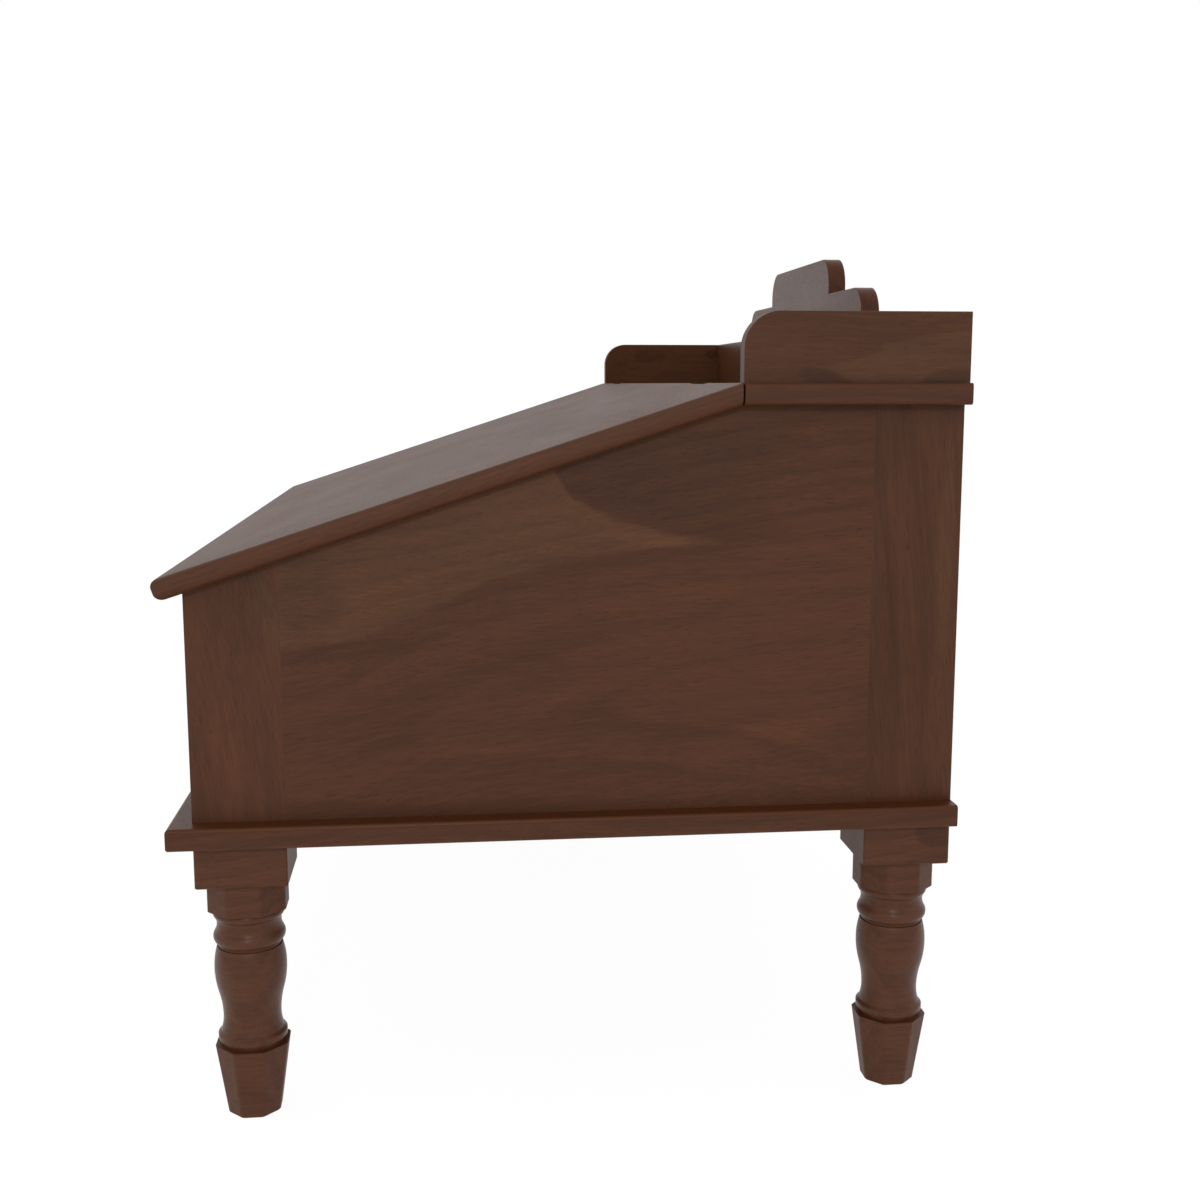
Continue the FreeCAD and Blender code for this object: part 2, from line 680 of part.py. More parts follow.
def make_gallery():
    """The gallery: two ends with a rounded front corner, and a crest that rises in two rounded steps."""
    peg_hole = "dowel_diameter + 2 * joint_slack"
    peg_depth = "dowel_length - dowel_in_shelf + joint_slack"
    for side, sign in SIDES.items():
        body = new_body(f"{side}_gallery_end", signed(sign, "gallery_middle"), z="shelf_top")
        face = draw(body, f"{side}_gallery_face", "X")
        corner = "gallery_height - gallery_corner"
        outline(face, [
            ("gallery_front", "0"),
            ("carcass_back", "0"),
            ("carcass_back", "gallery_height"),
            ("gallery_front + gallery_corner", "gallery_height"),
            ("gallery_front", corner, corner),
        ])
        pad(body, face, "gallery_thickness", symmetric=True)

        def outer_edge(box):
            along = near(box.XMax, str(box.XMin)) and near(box.ZMax, "gallery_height")
            front = near(box.XMax, str(box.XMin)) and near(box.YMin, "gallery_front")
            return (along or front) and not near(box.YMin, "carcass_back") and not near(box.ZMax, "0")

        shape_edges(body, "Fillet", "gallery_arris", outer_edge)
        holes = draw(body, f"{side}_gallery_holes", "Z")
        circles(holes, [("0", y) for y in gallery_dowel_ys()], peg_hole)
        pocket(body, holes, peg_depth, reverse=True)

    crest = new_body("gallery_crest", y="carcass_back", z="shelf_top")
    face = draw(crest, "crest_face", "Y")
    steps = [
        ("crest_lower_width / 2", "gallery_height", "gallery_height + crest_lower_rise"),
        (
            "crest_upper_width / 2",
            "gallery_height + crest_lower_rise",
            "gallery_height + crest_lower_rise + crest_upper_rise",
        ),
    ]
    right = [("crest_half", "0"), ("crest_half", "gallery_height")]
    left = [("-crest_half", "gallery_height"), ("-crest_half", "0")]
    for half, low, high in steps:
        corner = f"{high} - gallery_corner"
        right += [(half, low), (half, corner), (f"{half} - gallery_corner", high, corner)]
        left = [(f"-({half} - gallery_corner)", high), (f"-{half}", corner, corner), (f"-{half}", low)] + left
    outline(face, right + left)
    pad(crest, face, "crest_thickness")

    def upper_edge(box):
        end = flat_at(box.XMin, box.XMax, "crest_half") or flat_at(box.XMin, box.XMax, "-crest_half")
        return near(box.YMax, str(box.YMin)) and not end and not near(box.ZMax, "0")

    shape_edges(crest, "Fillet", "gallery_arris", upper_edge)
    holes = draw(crest, "crest_holes", "Z")
    circles(holes, [(x, "-crest_thickness / 2") for x in crest_dowel_xs()], peg_hole)
    pocket(crest, holes, peg_depth, reverse=True)


def batten_screw_alongs():
    """Places of the screws along a batten, measured down the slope from the hinge pin."""
    return ["batten_rear_margin + batten_screw_margin", "batten_end - batten_screw_margin"]


def make_lid():
    """The sloping lid with its rear edge upright at the shelf, and two battens under it."""
    lid = new_body("lid_board", y="pin_y", z="shelf_top")
    section = draw(lid, "lid_section", "X")
    rear, rear_top = "-pin_gap", "-pin_gap * tan(slope_angle)"
    outline(section, [
        (rear, rear_top),
        (rear, f"{rear_top} - lid_thickness / cos(slope_angle)"),
        on_lid("lid_length", "lid_thickness"),
        on_lid("lid_length", "0"),
    ])
    pad(lid, section, "2 * half_span", symmetric=True)
    slope = math.radians(number("slope_angle"))

    def outer_edge(box, depth):
        ends = ((box.YMin, box.ZMin), (box.YMax, box.ZMax))
        level = all(near(y * math.sin(slope) - z * math.cos(slope), depth) for y, z in ends)
        return level and not flat_at(box.YMin, box.YMax, rear)

    shape_edges(lid, "Fillet", "lid_top_round", lambda box: outer_edge(box, "0"))
    shape_edges(lid, "Fillet", "lid_bottom_round", lambda box: outer_edge(box, "lid_thickness"))
    let_in_hinges(lid, rear, -1)
    pilots = draw_on_lid(lid, "batten_pilots", "lid_thickness")
    places = [
        (signed(side, "batten_x"), f"-({along})")
        for side in SIDES.values()
        for along in batten_screw_alongs()
    ]
    circles(pilots, places, "wood_screw_shank + 2 * joint_slack")
    pocket(lid, pilots, "batten_screw_length - batten_thickness + joint_slack", reverse=True)

    for side, sign in SIDES.items():
        batten = new_body(f"{side}_lid_batten", signed(sign, "batten_x"), "pin_y", "shelf_top")
        section = draw(batten, f"{side}_batten_section", "X")
        outline(section, [
            on_lid("batten_rear_margin", "lid_thickness"),
            on_lid("batten_end", "lid_thickness"),
            on_lid("batten_end", "batten_under - batten_bevel"),
            on_lid("batten_end - batten_bevel", "batten_under"),
            on_lid("batten_rear_margin + batten_bevel", "batten_under"),
            on_lid("batten_rear_margin", "batten_under - batten_bevel"),
        ])
        pad(batten, section, "batten_width", symmetric=True)
        holes = draw_on_lid(batten, f"{side}_batten_holes", "batten_under")
        circles(holes, [("0", f"-({along})") for along in batten_screw_alongs()], "wood_screw_shank")
        countersink(batten, holes, "wood_screw_shank", "wood_screw_head", reverse=True)


def make_leaf(label, x, facing):
    """One leaf of a butt hinge. It faces the shelf or the lid, and keeps every other knuckle."""
    leaf = new_body(label, x, "pin_y", "pin_z")
    plate = draw(leaf, f"{label}_plate", "X")
    near_face = "shelf_gap" if facing > 0 else "pin_gap"
    far_face = f"{near_face} + leaf_thickness"
    outline(plate, rectangle(signed(facing, near_face), "-leaf_width", signed(facing, far_face), "0"))
    pad(leaf, plate, "hinge_length", symmetric=True)
    barrel = draw(leaf, f"{label}_barrel", "X")
    circles(barrel, [("0", "0")], "knuckle_diameter")
    pad(leaf, barrel, "hinge_length", symmetric=True)
    gaps = draw(leaf, f"{label}_gaps", "Y")
    for index in range(1 if facing > 0 else 0, KNUCKLES, 2):
        low = f"knuckle_length * {index - KNUCKLES / 2} - knuckle_gap / 2"
        high = f"{low} + knuckle_length + knuckle_gap"
        outline(gaps, rectangle(low, "-knuckle_room", high, "knuckle_room"))
    pocket(leaf, gaps, "4 * knuckle_room", symmetric=True)
    bore = draw(leaf, f"{label}_bore", "X")
    circles(bore, [("0", "0")], "pin_diameter + 2 * pin_clearance")
    pocket(leaf, bore, "2 * hinge_length", symmetric=True)
    holes = draw(leaf, f"{label}_holes", "Y", signed(facing, near_face))
    circles(holes, [(x, "-leaf_screw_drop") for x in leaf_screw_xs()], "hinge_screw_shank")
    countersink(leaf, holes, "hinge_screw_shank", "hinge_screw_head", reverse=facing < 0)


def make_hinges():
    """Two butt hinges: a leaf on the shelf, a leaf on the lid and the pin through their knuckles."""
    for side, sign in SIDES.items():
        x = signed(sign, "hinge_x")
        make_leaf(f"{side}_hinge_shelf_leaf", x, 1)
        make_leaf(f"{side}_hinge_lid_leaf", x, -1)
        pin = new_body(f"{side}_hinge_pin", x, "pin_y", "pin_z")
        section = draw(pin, f"{side}_pin_section", "X")
        circles(section, [("0", "0")], "pin_diameter")
        pad(pin, section, "hinge_length", symmetric=True)
        shape_edges(pin, "Chamfer", "pin_bevel", lambda box: near(box.XMax, str(box.XMin)))


def make_leg(name, across, along, x, y):
    """A leg: square block, eight-sided drum, turned bead, ring and vase, and an eight-sided foot."""
    leg = new_body(f"{name}_leg", x, y, "leg_height")
    block = draw(leg, f"{name}_block", "Z")
    half = "leg_stock / 2"
    outline(block, rectangle(f"-{half}", f"-{half}", half, half))
    pad(leg, block, "block_height", reverse=True)
    shape_edges(leg, "Chamfer", "block_bevel", lambda box: near(box.ZMin, "-block_height"))
    drum = draw(leg, f"{name}_drum", "Z", "-block_height")
    outline(drum, octagon("drum_flats"))
    pad(leg, drum, "drum_height", reverse=True)
    shape_edges(leg, "Fillet", "drum_arris", lambda box: upright_between(box, "-drum_end", "-block_height"))

    profile = draw(leg, f"{name}_turning", "Y")
    inflection = ("(shoulder_diameter + waist_diameter) / 4", "-(shoulder_level + waist_level) / 2")
    outline(profile, [
        ("0", "-drum_end"),
        ("bead_core_diameter / 2", "-drum_end"),
        ("bead_diameter / 2", "-bead_middle", "-bead_middle"),
        ("bead_core_diameter / 2", "-bead_end", "-bead_middle"),
        ("neck_diameter / 2", "-neck_middle", "-neck_middle"),
        ("ring_edge_diameter / 2", "-ring_start", "-neck_middle"),
        ("ring_diameter / 2", "-ring_middle", "-ring_middle"),
        ("ring_under_diameter / 2", "-ring_end", "-ring_middle"),
        ("quirk_diameter / 2", "-ring_end"),
        ("quirk_diameter / 2", "-vase_start"),
        ("vase_top_diameter / 2", "-vase_start"),
        ("shoulder_diameter / 2", "-shoulder_level", "-shoulder_level"),
        (*inflection, "-shoulder_level"),
        ("waist_diameter / 2", "-waist_level", "-waist_level"),
        ("flare_diameter / 2", "-flare_end", "-waist_level"),
        ("lip_diameter / 2", "-lip_start"),
        ("lip_diameter / 2", "-lip_end"),
        ("collar_diameter / 2", "-lip_end"),
        ("collar_diameter / 2", "-foot_start"),
        ("0", "-foot_start"),
    ])
    turning = leg.newObject("PartDesign::Revolution", f"{name}_turned")
    turning.Profile = profile
    turning.ReferenceAxis = (profile, ["V_Axis"])
    DOC.recompute()

    foot_top = draw(leg, f"{name}_foot_top", "Z", "-foot_start")
    outline(foot_top, octagon("foot_top_flats"))
    foot_bottom = draw(leg, f"{name}_foot_bottom", "Z", "-leg_height")
    outline(foot_bottom, octagon("foot_bottom_flats"))
    foot = leg.newObject("PartDesign::AdditiveLoft", f"{name}_foot")
    foot.Profile = foot_top
    foot.Sections = [foot_bottom]
    foot.Ruled = True
    DOC.recompute()
    shape_edges(leg, "Fillet", "foot_arris", lambda box: upright_between(box, "-leg_height", "-foot_start"))
    shape_edges(leg, "Chamfer", "foot_bevel", lambda box: flat_at(box.ZMin, box.ZMax, "-leg_height"))

    tenon = draw(leg, f"{name}_tenon", "Z")
    circles(tenon, [("0", "0")], "tenon_diameter")
    pad(leg, tenon, "base_thickness - tenon_short")
    pilots = draw(leg, f"{name}_pilots", "Z")
    circles(pilots, leg_screw_places(across, along), "wood_screw_shank + 2 * joint_slack")
    pocket(leg, pilots, "leg_screw_length - base_thickness + joint_slack")


def make_screw(name, shank, head, slot, length):
    """A slotted countersunk screw for copying, with its head's top at the origin and its point downwards."""
    screw = new_body(name, piece=False)
    profile = draw(screw, f"{name}_profile", "Y")
    cone = f"({head} - {shank}) / 2"
    outline(profile, [
        ("0", "0"),
        (f"{head} / 2", "0"),
        (f"{shank} / 2", f"-({cone})"),
        (f"{shank} / 2", f"{shank} - {length}"),
        ("0", f"-{length}"),
    ])
    turned = screw.newObject("PartDesign::Revolution", f"{name}_turned")
    turned.Profile = profile
    turned.ReferenceAxis = (profile, ["V_Axis"])
    DOC.recompute()
    cut = draw(screw, f"{name}_slot", "Z")
    outline(cut, rectangle(f"-{head}", f"-{slot} / 2", head, f"{slot} / 2"))
    pocket(screw, cut, slot)
    return screw


def make_dowel():
    """A bevelled wooden peg for copying, with its lower end at the origin."""
    peg = new_body("dowel", piece=False)
    section = draw(peg, "dowel_section", "Z")
    circles(section, [("0", "0")], "dowel_diameter")
    pad(peg, section, "dowel_length")
    shape_edges(peg, "Chamfer", "dowel_bevel", lambda box: near(box.ZMax, str(box.ZMin)))
    return peg


def group(label, pattern, places, turn=0):
    """Copies of one fastener at several places, turned about X, as one piece of separate solids."""
    copies = []
    for index, place in enumerate(places):
        copy = DOC.addObject("App::Link", f"{label}_{index}")
        copy.LinkedObject = pattern
        copy.Placement = FreeCAD.Placement(FreeCAD.Vector(), FreeCAD.Rotation(X_AXIS, turn))
        for axis, text in zip("xyz", place):
            copy.setExpression(f"Placement.Base.{axis}", bound(text))
        copies.append(copy)
    compound = DOC.addObject("Part::Compound", label)
    compound.Label = label
    compound.Links = copies
    PIECES.append(compound)


def make_fasteners():
    """The screws and pegs, each kind as one group."""
    small = make_screw(
        "hinge_screw", "hinge_screw_shank", "hinge_screw_head", "hinge_screw_slot", "hinge_screw_length"
    )
    hinges = [signed(sign, "hinge_x") for sign in SIDES.values()]
    faces = (("hinge_shelf_screws", "pin_y + shelf_gap", 1), ("hinge_lid_screws", "pin_y - pin_gap", -1))
    for label, y, facing in faces:
        z = "pin_z - leaf_screw_drop"
        places = [(f"{hinge} + {x}", y, z) for hinge in hinges for x in leaf_screw_xs()]
        group(label, small, places, 90 * facing)

    wood = ("wood_screw_shank", "wood_screw_head", "wood_screw_slot")
    leg_screw = make_screw("leg_screw", *wood, "leg_screw_length")
    places = [
        (f"{x} + {dx}", f"{y} + {dy}", "base_top")
        for _, across, along, x, y in leg_places()
        for dx, dy in leg_screw_places(across, along)
    ]
    group("leg_screws", leg_screw, places)

    base_screw = make_screw("base_screw", *wood, "base_screw_length")
    group("base_screws", base_screw, [(x, y, "leg_height") for x, y in base_screw_places()], 180)

    batten_screw = make_screw("batten_screw", *wood, "batten_screw_length")
    places = []
    for sign in SIDES.values():
        for along in batten_screw_alongs():
            across, up = on_lid(along, "batten_under")
            places.append((signed(sign, "batten_x"), f"pin_y + {across}", f"shelf_top + {up}"))
    group("batten_screws", batten_screw, places, 180 + number("slope_angle"))

    peg = make_dowel()
    foot = "shelf_under + dowel_in_shelf - dowel_length"
    group("shelf_dowels", peg, [(x, y, foot) for x, y in shelf_peg_places()])
    group("gallery_dowels", peg, [(x, y, "shelf_top - dowel_in_shelf") for x, y in gallery_peg_places()])


def check_document():
    """Stops the build if any object of the document failed or any piece has no sound shape."""
    for item in DOC.Objects:
        if {"Invalid", "Error"} & set(item.State):
            raise RuntimeError(f"{item.Name} failed: {item.State}")
    for piece in PIECES:
        if piece.Shape.isNull() or not piece.Shape.isValid() or not piece.Shape.Solids:
            raise RuntimeError(f"{piece.Label} has no sound shape")


def write_pieces():
    """Writes each piece to a STEP file under its own name."""
    os.makedirs("parts", exist_ok=True)
    for piece in PIECES:
        piece.Shape.exportStep(os.path.join("parts", f"{piece.Label}.step"))


fill_sheet()
make_base_board()
for side_name, side_sign in SIDES.items():
    make_side(side_name, side_sign)
make_end_walls()
make_corner_blocks()
make_top_shelf()
make_gallery()
make_lid()
make_hinges()
for leg in leg_places():
    make_leg(*leg)
make_fasteners()
DOC.recompute()
check_document()
write_pieces()
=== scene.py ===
"""Dark walnut lap desk on turned legs: the finishes of its pieces, and the studio round it.

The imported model's nodes are shown as they are. Every pattern is worked out from places in metres.
"""
import logging
import math
from dataclasses import dataclass
from enum import Enum
from functools import reduce
from typing import Iterable, Optional, Union

import bpy
from bpy.types import Material, Node, NodeOutputs, NodeSocket, NodeTree
from mathutils import Matrix, Vector


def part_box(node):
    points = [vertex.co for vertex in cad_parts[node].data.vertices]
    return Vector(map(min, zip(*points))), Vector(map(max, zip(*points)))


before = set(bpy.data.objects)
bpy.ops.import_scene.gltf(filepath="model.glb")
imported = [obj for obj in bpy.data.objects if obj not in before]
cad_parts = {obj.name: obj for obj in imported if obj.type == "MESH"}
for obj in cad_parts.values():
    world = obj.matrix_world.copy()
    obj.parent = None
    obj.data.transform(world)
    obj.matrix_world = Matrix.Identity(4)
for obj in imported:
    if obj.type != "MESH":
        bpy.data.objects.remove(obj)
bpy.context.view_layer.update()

LOG = logging.getLogger("lap_desk")
Triple = tuple[float, float, float]
Point = tuple[float, float]
Value = Union[float, Triple, NodeSocket]


class Grain(Enum):
    """The way a board's grain runs, as the turn that brings it onto the X axis of the figure."""

    WIDTH = (0.0, 0.0, 0.0)
    DEPTH = (0.0, 0.0, -math.pi / 2)
    UPRIGHT = (0.0, math.pi / 2, 0.0)


class Gloss(Enum):
    """How a finish was left, as the roughness it starts from."""

    SATIN = 0.50
    TURNED = 0.35
    POLISHED = 0.34
    BARE = 0.80


class Tone(Enum):
    """What a patch in the figure turns the wood to, as the name of a colour in its palette."""

    DARK = "dark"
    LIGHT = "light"
    PALE = "sap"


class Side(Enum):
    """The desk's two sides, as the sign of X there."""

    RIGHT = 1
    LEFT = -1


class End(Enum):
    """The desk's front and back, as the place along Y of the legs there."""

    FRONT = -0.18285
    BACK = 0.19685


def linear(red: int, green: int, blue: int) -> Triple:
    """Turns a colour as a screen shows it into the linear values that shaders use.

    Args:
        red: Red from 0 to 255.
        green: Green from 0 to 255.
        blue: Blue from 0 to 255.

    Returns:
        The linear colour.
    """

    def channel(level: int) -> float:
        """Turns one channel."""
        share = level / 255
        return share / 12.92 if share <= 0.04045 else ((share + 0.055) / 1.055) ** 2.4

    return channel(red), channel(green), channel(blue)


class Graph:
    """A node tree, with short ways to add nodes and join them."""

    def __init__(self, tree: NodeTree) -> None:
        """Keeps the tree that nodes are added to."""
        self.tree = tree

    def put(self, kind: str, inputs: Optional[dict] = None, **settings: object) -> Node:
        """Adds a node.

        Args:
            kind: Blender's name for the type of node.
            inputs: Values or sockets for the node's inputs, by name or number.
            **settings: Values for the node's own properties.

        Returns:
            The node.
        """
        node = self.tree.nodes.new(kind)
        for name, value in settings.items():
            setattr(node, name, value)
        for key, value in (inputs or {}).items():
            self.feed(node.inputs[key], value)
        return node

    def feed(self, socket: NodeSocket, value: Value) -> None:
        """Joins a socket to an input, or sets the input's own value.

        Args:
            socket: The input.
            value: A socket, a number, a vector or a colour.
        """
        if isinstance(value, NodeSocket):
            self.tree.links.new(value, socket)
        elif socket.type == "RGBA":
            socket.default_value = (*value, 1.0)
        else:
            socket.default_value = value

    def maths(self, operation: str, *values: Value) -> NodeSocket:
        """Works out one number from one, two or three."""
        return self.put("ShaderNodeMath", dict(enumerate(values)), operation=operation).outputs[0]

    def vector(self, operation: str, *values: Value) -> NodeSocket:
        """Works out one vector from one or two."""
        return self.put("ShaderNodeVectorMath", dict(enumerate(values)), operation=operation).outputs[0]

    def dot(self, first: Value, second: Value) -> NodeSocket:
        """Works out the dot product of two vectors."""
        pair = {0: first, 1: second}
        return self.put("ShaderNodeVectorMath", pair, operation="DOT_PRODUCT").outputs["Value"]

    def length(self, vector: Value) -> NodeSocket:
        """Works out a vector's length."""
        return self.put("ShaderNodeVectorMath", {0: vector}, operation="LENGTH").outputs["Value"]

    def furthest(self, operation: str, values: Iterable[NodeSocket]) -> NodeSocket:
        """Finds the MINIMUM or the MAXIMUM of some numbers."""
        return reduce(lambda first, second: self.maths(operation, first, second), values)

    def noise(self, place: Value, scale: Triple, detail: float, rough: float = 0.5) -> Node:
        """Adds noise with its own scale along each axis.

        Args:
            place: The vector it is worked out from.
            scale: How many times it changes in a metre along each axis.
            detail: How many finer layers it has.
            rough: How strong the finer layers are.

        Returns:
            The noise node.
        """
        scaled = self.vector("MULTIPLY", place, scale)
        return self.put(
            "ShaderNodeTexNoise",
            {"Vector": scaled, "Scale": 1.0, "Detail": detail, "Roughness": rough},
        )

    def fade(self, value: Value, low: Value, high: Value, start: float = 0.0, end: float = 1.0) -> NodeSocket:
        """Passes smoothly from start to end as a value goes from low to high."""
        inputs = {"Value": value, "From Min": low, "From Max": high, "To Min": start, "To Max": end}
        return self.put("ShaderNodeMapRange", inputs, interpolation_type="SMOOTHSTEP").outputs["Result"]

    def mix(
        self, share: Value, first: Value, second: Value, kind: str = "Color", blend: str = "MIX"
    ) -> NodeSocket:
        """Mixes two colours or two vectors.

        Args:
            share: How much of the second there is.
            first: The first colour or vector.
            second: The second colour or vector.
            kind: Color or Vector.
            blend: Blender's name for the way of mixing.

        Returns:
            The mixed colour or vector.
        """
        types = {"Color": "RGBA", "Vector": "VECTOR"}
        node = self.put("ShaderNodeMix", data_type=types[kind], blend_type=blend)
        ends = {item.identifier: item for item in node.inputs}
        for name, value in (("Factor_Float", share), (f"A_{kind}", first), (f"B_{kind}", second)):
            self.feed(ends[name], value)
        return next(item for item in node.outputs if item.identifier == f"Result_{kind}")

    def stain(self, share: Value, colour: Value, old: Triple, new: Triple) -> NodeSocket:
        """Turns a colour by as much as would turn an old colour into a new one.

        Args:
            share: How far to turn it.
            colour: The colour.
            old: A colour as it is before.
            new: The same colour as it is after.

        Returns:
            The turned colour.
        """
        change = tuple(after / before for before, after in zip(old, new))
        return self.mix(share, colour, change, blend="MULTIPLY")

    def curve(self, value: Value, points: Iterable[Point]) -> NodeSocket:
        """Reads a number off a smooth curve through points from 0 to 1.

        Args:
            value: Where to read it.
            points: The curve's points, from left to right.

        Returns:
            The number.
        """
        node = self.put("ShaderNodeFloatCurve", {"Value": value})
        line = node.mapping.curves[0]
        ends = list(points)
        for at, level in ends[1:-1]:
            line.points.new(at, level)
        line.points[0].location, line.points[-1].location = ends[0], ends[-1]
        node.mapping.update()
        return node.outputs[0]

    def group(self, tree: NodeTree, **inputs: Value) -> NodeOutputs:
        """Places a shared effect, with its inputs named in lower case, and returns its outputs."""
        node = self.put("ShaderNodeGroup", node_tree=tree)
        for name, value in inputs.items():
            self.feed(node.inputs[name.replace("_", " ").title()], value)
        return node.outputs


class Effect:
    """A shared effect: a node group with named inputs and outputs."""

    def __init__(self, name: str, inputs: dict[str, str], outputs: dict[str, str]) -> None:
        """Makes the empty group.

        Args:
            name: The group's name.
            inputs: The type of each input, by name.
            outputs: The type of each output, by name.
        """
        self.tree = bpy.data.node_groups.new(name, "ShaderNodeTree")
        for way, sockets in (("INPUT", inputs), ("OUTPUT", outputs)):
            for label, kind in sockets.items():
                self.tree.interface.new_socket(label, in_out=way, socket_type=f"NodeSocket{kind}")
        self.graph = Graph(self.tree)
        self.given = self.graph.put("NodeGroupInput").outputs
        self.result = self.graph.put("NodeGroupOutput").inputs

    def give(self, **values: NodeSocket) -> NodeTree:
        """Joins the results to the outputs, named in lower case, and returns the finished group."""
        for name, socket in values.items():
            self.tree.links.new(socket, self.result[name.title()])
        return self.tree


@dataclass(frozen=True)
class Layer:
    """A layer of noise, by how it changes and the two levels of it between which the layer comes in.

    The scale is how many times it changes in a metre along each axis.
    """

    scale: Triple
    detail: float
    rough: float
    low: float
    high: float

    def mask(self, graph: Graph, place: NodeSocket) -> NodeSocket:
        """Works out where the layer is, and returns the mask."""
        noise = graph.noise(place, self.scale, self.detail, self.rough)
        return graph.fade(noise.outputs["Fac"], self.low, self.high)


# The layers of the wood's figure, and the specks that break up a line
FIGURE = {
    "streaks": Layer((10.0, 300.0, 300.0), 5.0, 0.64, 0.32, 0.68),
    "fibre": Layer((55.0, 760.0, 760.0), 2.0, 0.6, 0.28, 0.72),
    "pores": Layer((130.0, 1500.0, 1500.0), 0.0, 0.5, 0.66, 0.78),
    "clouds": Layer((3.0, 13.0, 13.0), 3.0, 0.5, 0.32, 0.68),
}
SPECKS = Layer((55.0, 55.0, 55.0), 3.0, 0.6, 0.36, 0.64)
# How the rings wander, and the shares of a ring's width where it is palest and where it darkens again
DRIFT_SCALE = (3.0, 9.0, 9.0)
RING_PALE = 0.8
RING_DARK = 0.86
# How the varnish pools, and what the pores and the fibre under it do to its roughness and its height
POOL_SCALE = (9.0, 26.0, 26.0)
POOL_SPAN = 0.12
PORE_DULLNESS = 0.10
PORE_DEPTH = 0.8
FIBRE_HEIGHT = 0.25
# How far a dark rim reaches over and under a tongue of sapwood, how dark it is, and where it comes in
RIMS = {"Above": (0.06, 1.0), "Below": (0.022, 0.5)}
RIM_START = -0.05
RIM_FULL = 0.01


class Effects:
    """The effects that the finishes share."""

    def __init__(self) -> None:
        """Builds the effects."""
        self.figure = self.make_figure()
        self.varnish = self.make_varnish()
        self.flame = self.make_flame()
        self.line = self.make_line()

    @staticmethod
    def make_figure() -> NodeTree:
        """Builds the figure of solid wood.

        Returns:
            The group. Its vector is in metres, with the grain along X and the heart of the tree on that axis.
        """
        effect = Effect(
            "wood_figure",
            {"Vector": "Vector", "Ring Width": "Float", "Wander": "Float"},
            {"Rings": "Float", "Streaks": "Float", "Fibre": "Float", "Pores": "Float", "Clouds": "Float"},
        )
        graph, given = effect.graph, effect.given
        drift = graph.noise(given["Vector"], DRIFT_SCALE, 1.0).outputs["Color"]
        centred = graph.vector("SUBTRACT", drift, (0.5, 0.5, 0.5))
        scaled = {0: centred, "Scale": given["Wander"]}
        wandered = graph.put("ShaderNodeVectorMath", scaled, operation="SCALE").outputs[0]
        bent = graph.vector("ADD", given["Vector"], wandered)
        radius = graph.length(graph.vector("MULTIPLY", bent, (0.0, 1.0, 1.0)))
        turns = graph.maths("FRACT", graph.maths("DIVIDE", radius, given["Ring Width"]))
        paling = graph.fade(turns, 0.0, RING_PALE)
        rings = graph.maths("MULTIPLY", paling, graph.fade(turns, RING_DARK, 1.0, 1.0, 0.0))
        layers = {name: layer.mask(graph, bent) for name, layer in FIGURE.items()}
        return effect.give(rings=rings, **layers)

    @staticmethod
    def make_varnish() -> NodeTree:
        """Builds a brushed varnish: where it lies thick or thin, and the pores that it doesn't fill.

        Returns:
            The group, with a roughness and a height.
        """
        effect = Effect(
            "varnish",
            {"Vector": "Vector", "Pores": "Float", "Fibre": "Float", "Dullness": "Float"},
            {"Roughness": "Float", "Height": "Float"},
        )
        graph, given = effect.graph, effect.given
        pooling = graph.noise(given["Vector"], POOL_SCALE, 3.0).outputs["Fac"]
        shift = graph.maths("MULTIPLY_ADD", pooling, POOL_SPAN, -POOL_SPAN / 2)
        dull = graph.maths("MULTIPLY_ADD", given["Pores"], PORE_DULLNESS, given["Dullness"])
        low = graph.maths("MULTIPLY", given["Pores"], -PORE_DEPTH)
        height = graph.maths("MULTIPLY_ADD", given["Fibre"], FIBRE_HEIGHT, low)
        return effect.give(roughness=graph.maths("ADD", dull, shift), height=height)

    @staticmethod
    def make_flame() -> NodeTree:
        """Builds a tongue of sapwood in the heartwood.

        Returns:
            The group. It takes how far a place is inside each edge, and puts out the sapwood and the dark
            heartwood along its edges.
        """
        effect = Effect(
            "sap_flame",
            {"Below": "Float", "Above": "Float", "Along": "Float", "Soft": "Float"},
            {"Sap": "Float", "Rim": "Float"},
        )
        graph, given = effect.graph, effect.given
        outer = graph.maths("MULTIPLY", given["Soft"], -1.0)
        inside = graph.furthest("MINIMUM", [given[way] for way in ("Below", "Above", "Along")])
        bands = []
        for way, (width, depth) in RIMS.items():
            near = graph.fade(given[way], -width, 0.0, 0.0, depth)
            beyond = graph.fade(given[way], outer, given["Soft"], 1.0, 0.0)
            bands.append(graph.maths("MULTIPLY", near, beyond))
        rim = graph.maths("MAXIMUM", *bands)
        rim = graph.maths("MULTIPLY", rim, graph.fade(given["Along"], RIM_START, RIM_FULL))
        return effect.give(sap=graph.fade(inside, outer, given["Soft"]), rim=rim)

    @staticmethod
    def make_line() -> NodeTree:
        """Builds a soft line along an edge or a corner.

        Returns:
            The group. It takes a distance, the line's width, the share of it that is full, and how far the
            line is broken up.
        """
        effect = Effect(
            "soft_line",
            {"Vector": "Vector", "Distance": "Float", "Width": "Float", "Full": "Float", "Broken": "Float"},
            {"Mask": "Float"},
        )
        graph, given = effect.graph, effect.given
        share = graph.maths("DIVIDE", given["Distance"], given["Width"])
        line = graph.fade(share, given["Full"], 1.0, 1.0, 0.0)
        gaps = graph.maths("MULTIPLY", SPECKS.mask(graph, given["Vector"]), given["Broken"])
        return effect.give(mask=graph.maths("MULTIPLY", line, graph.maths("SUBTRACT", 1.0, gaps)))


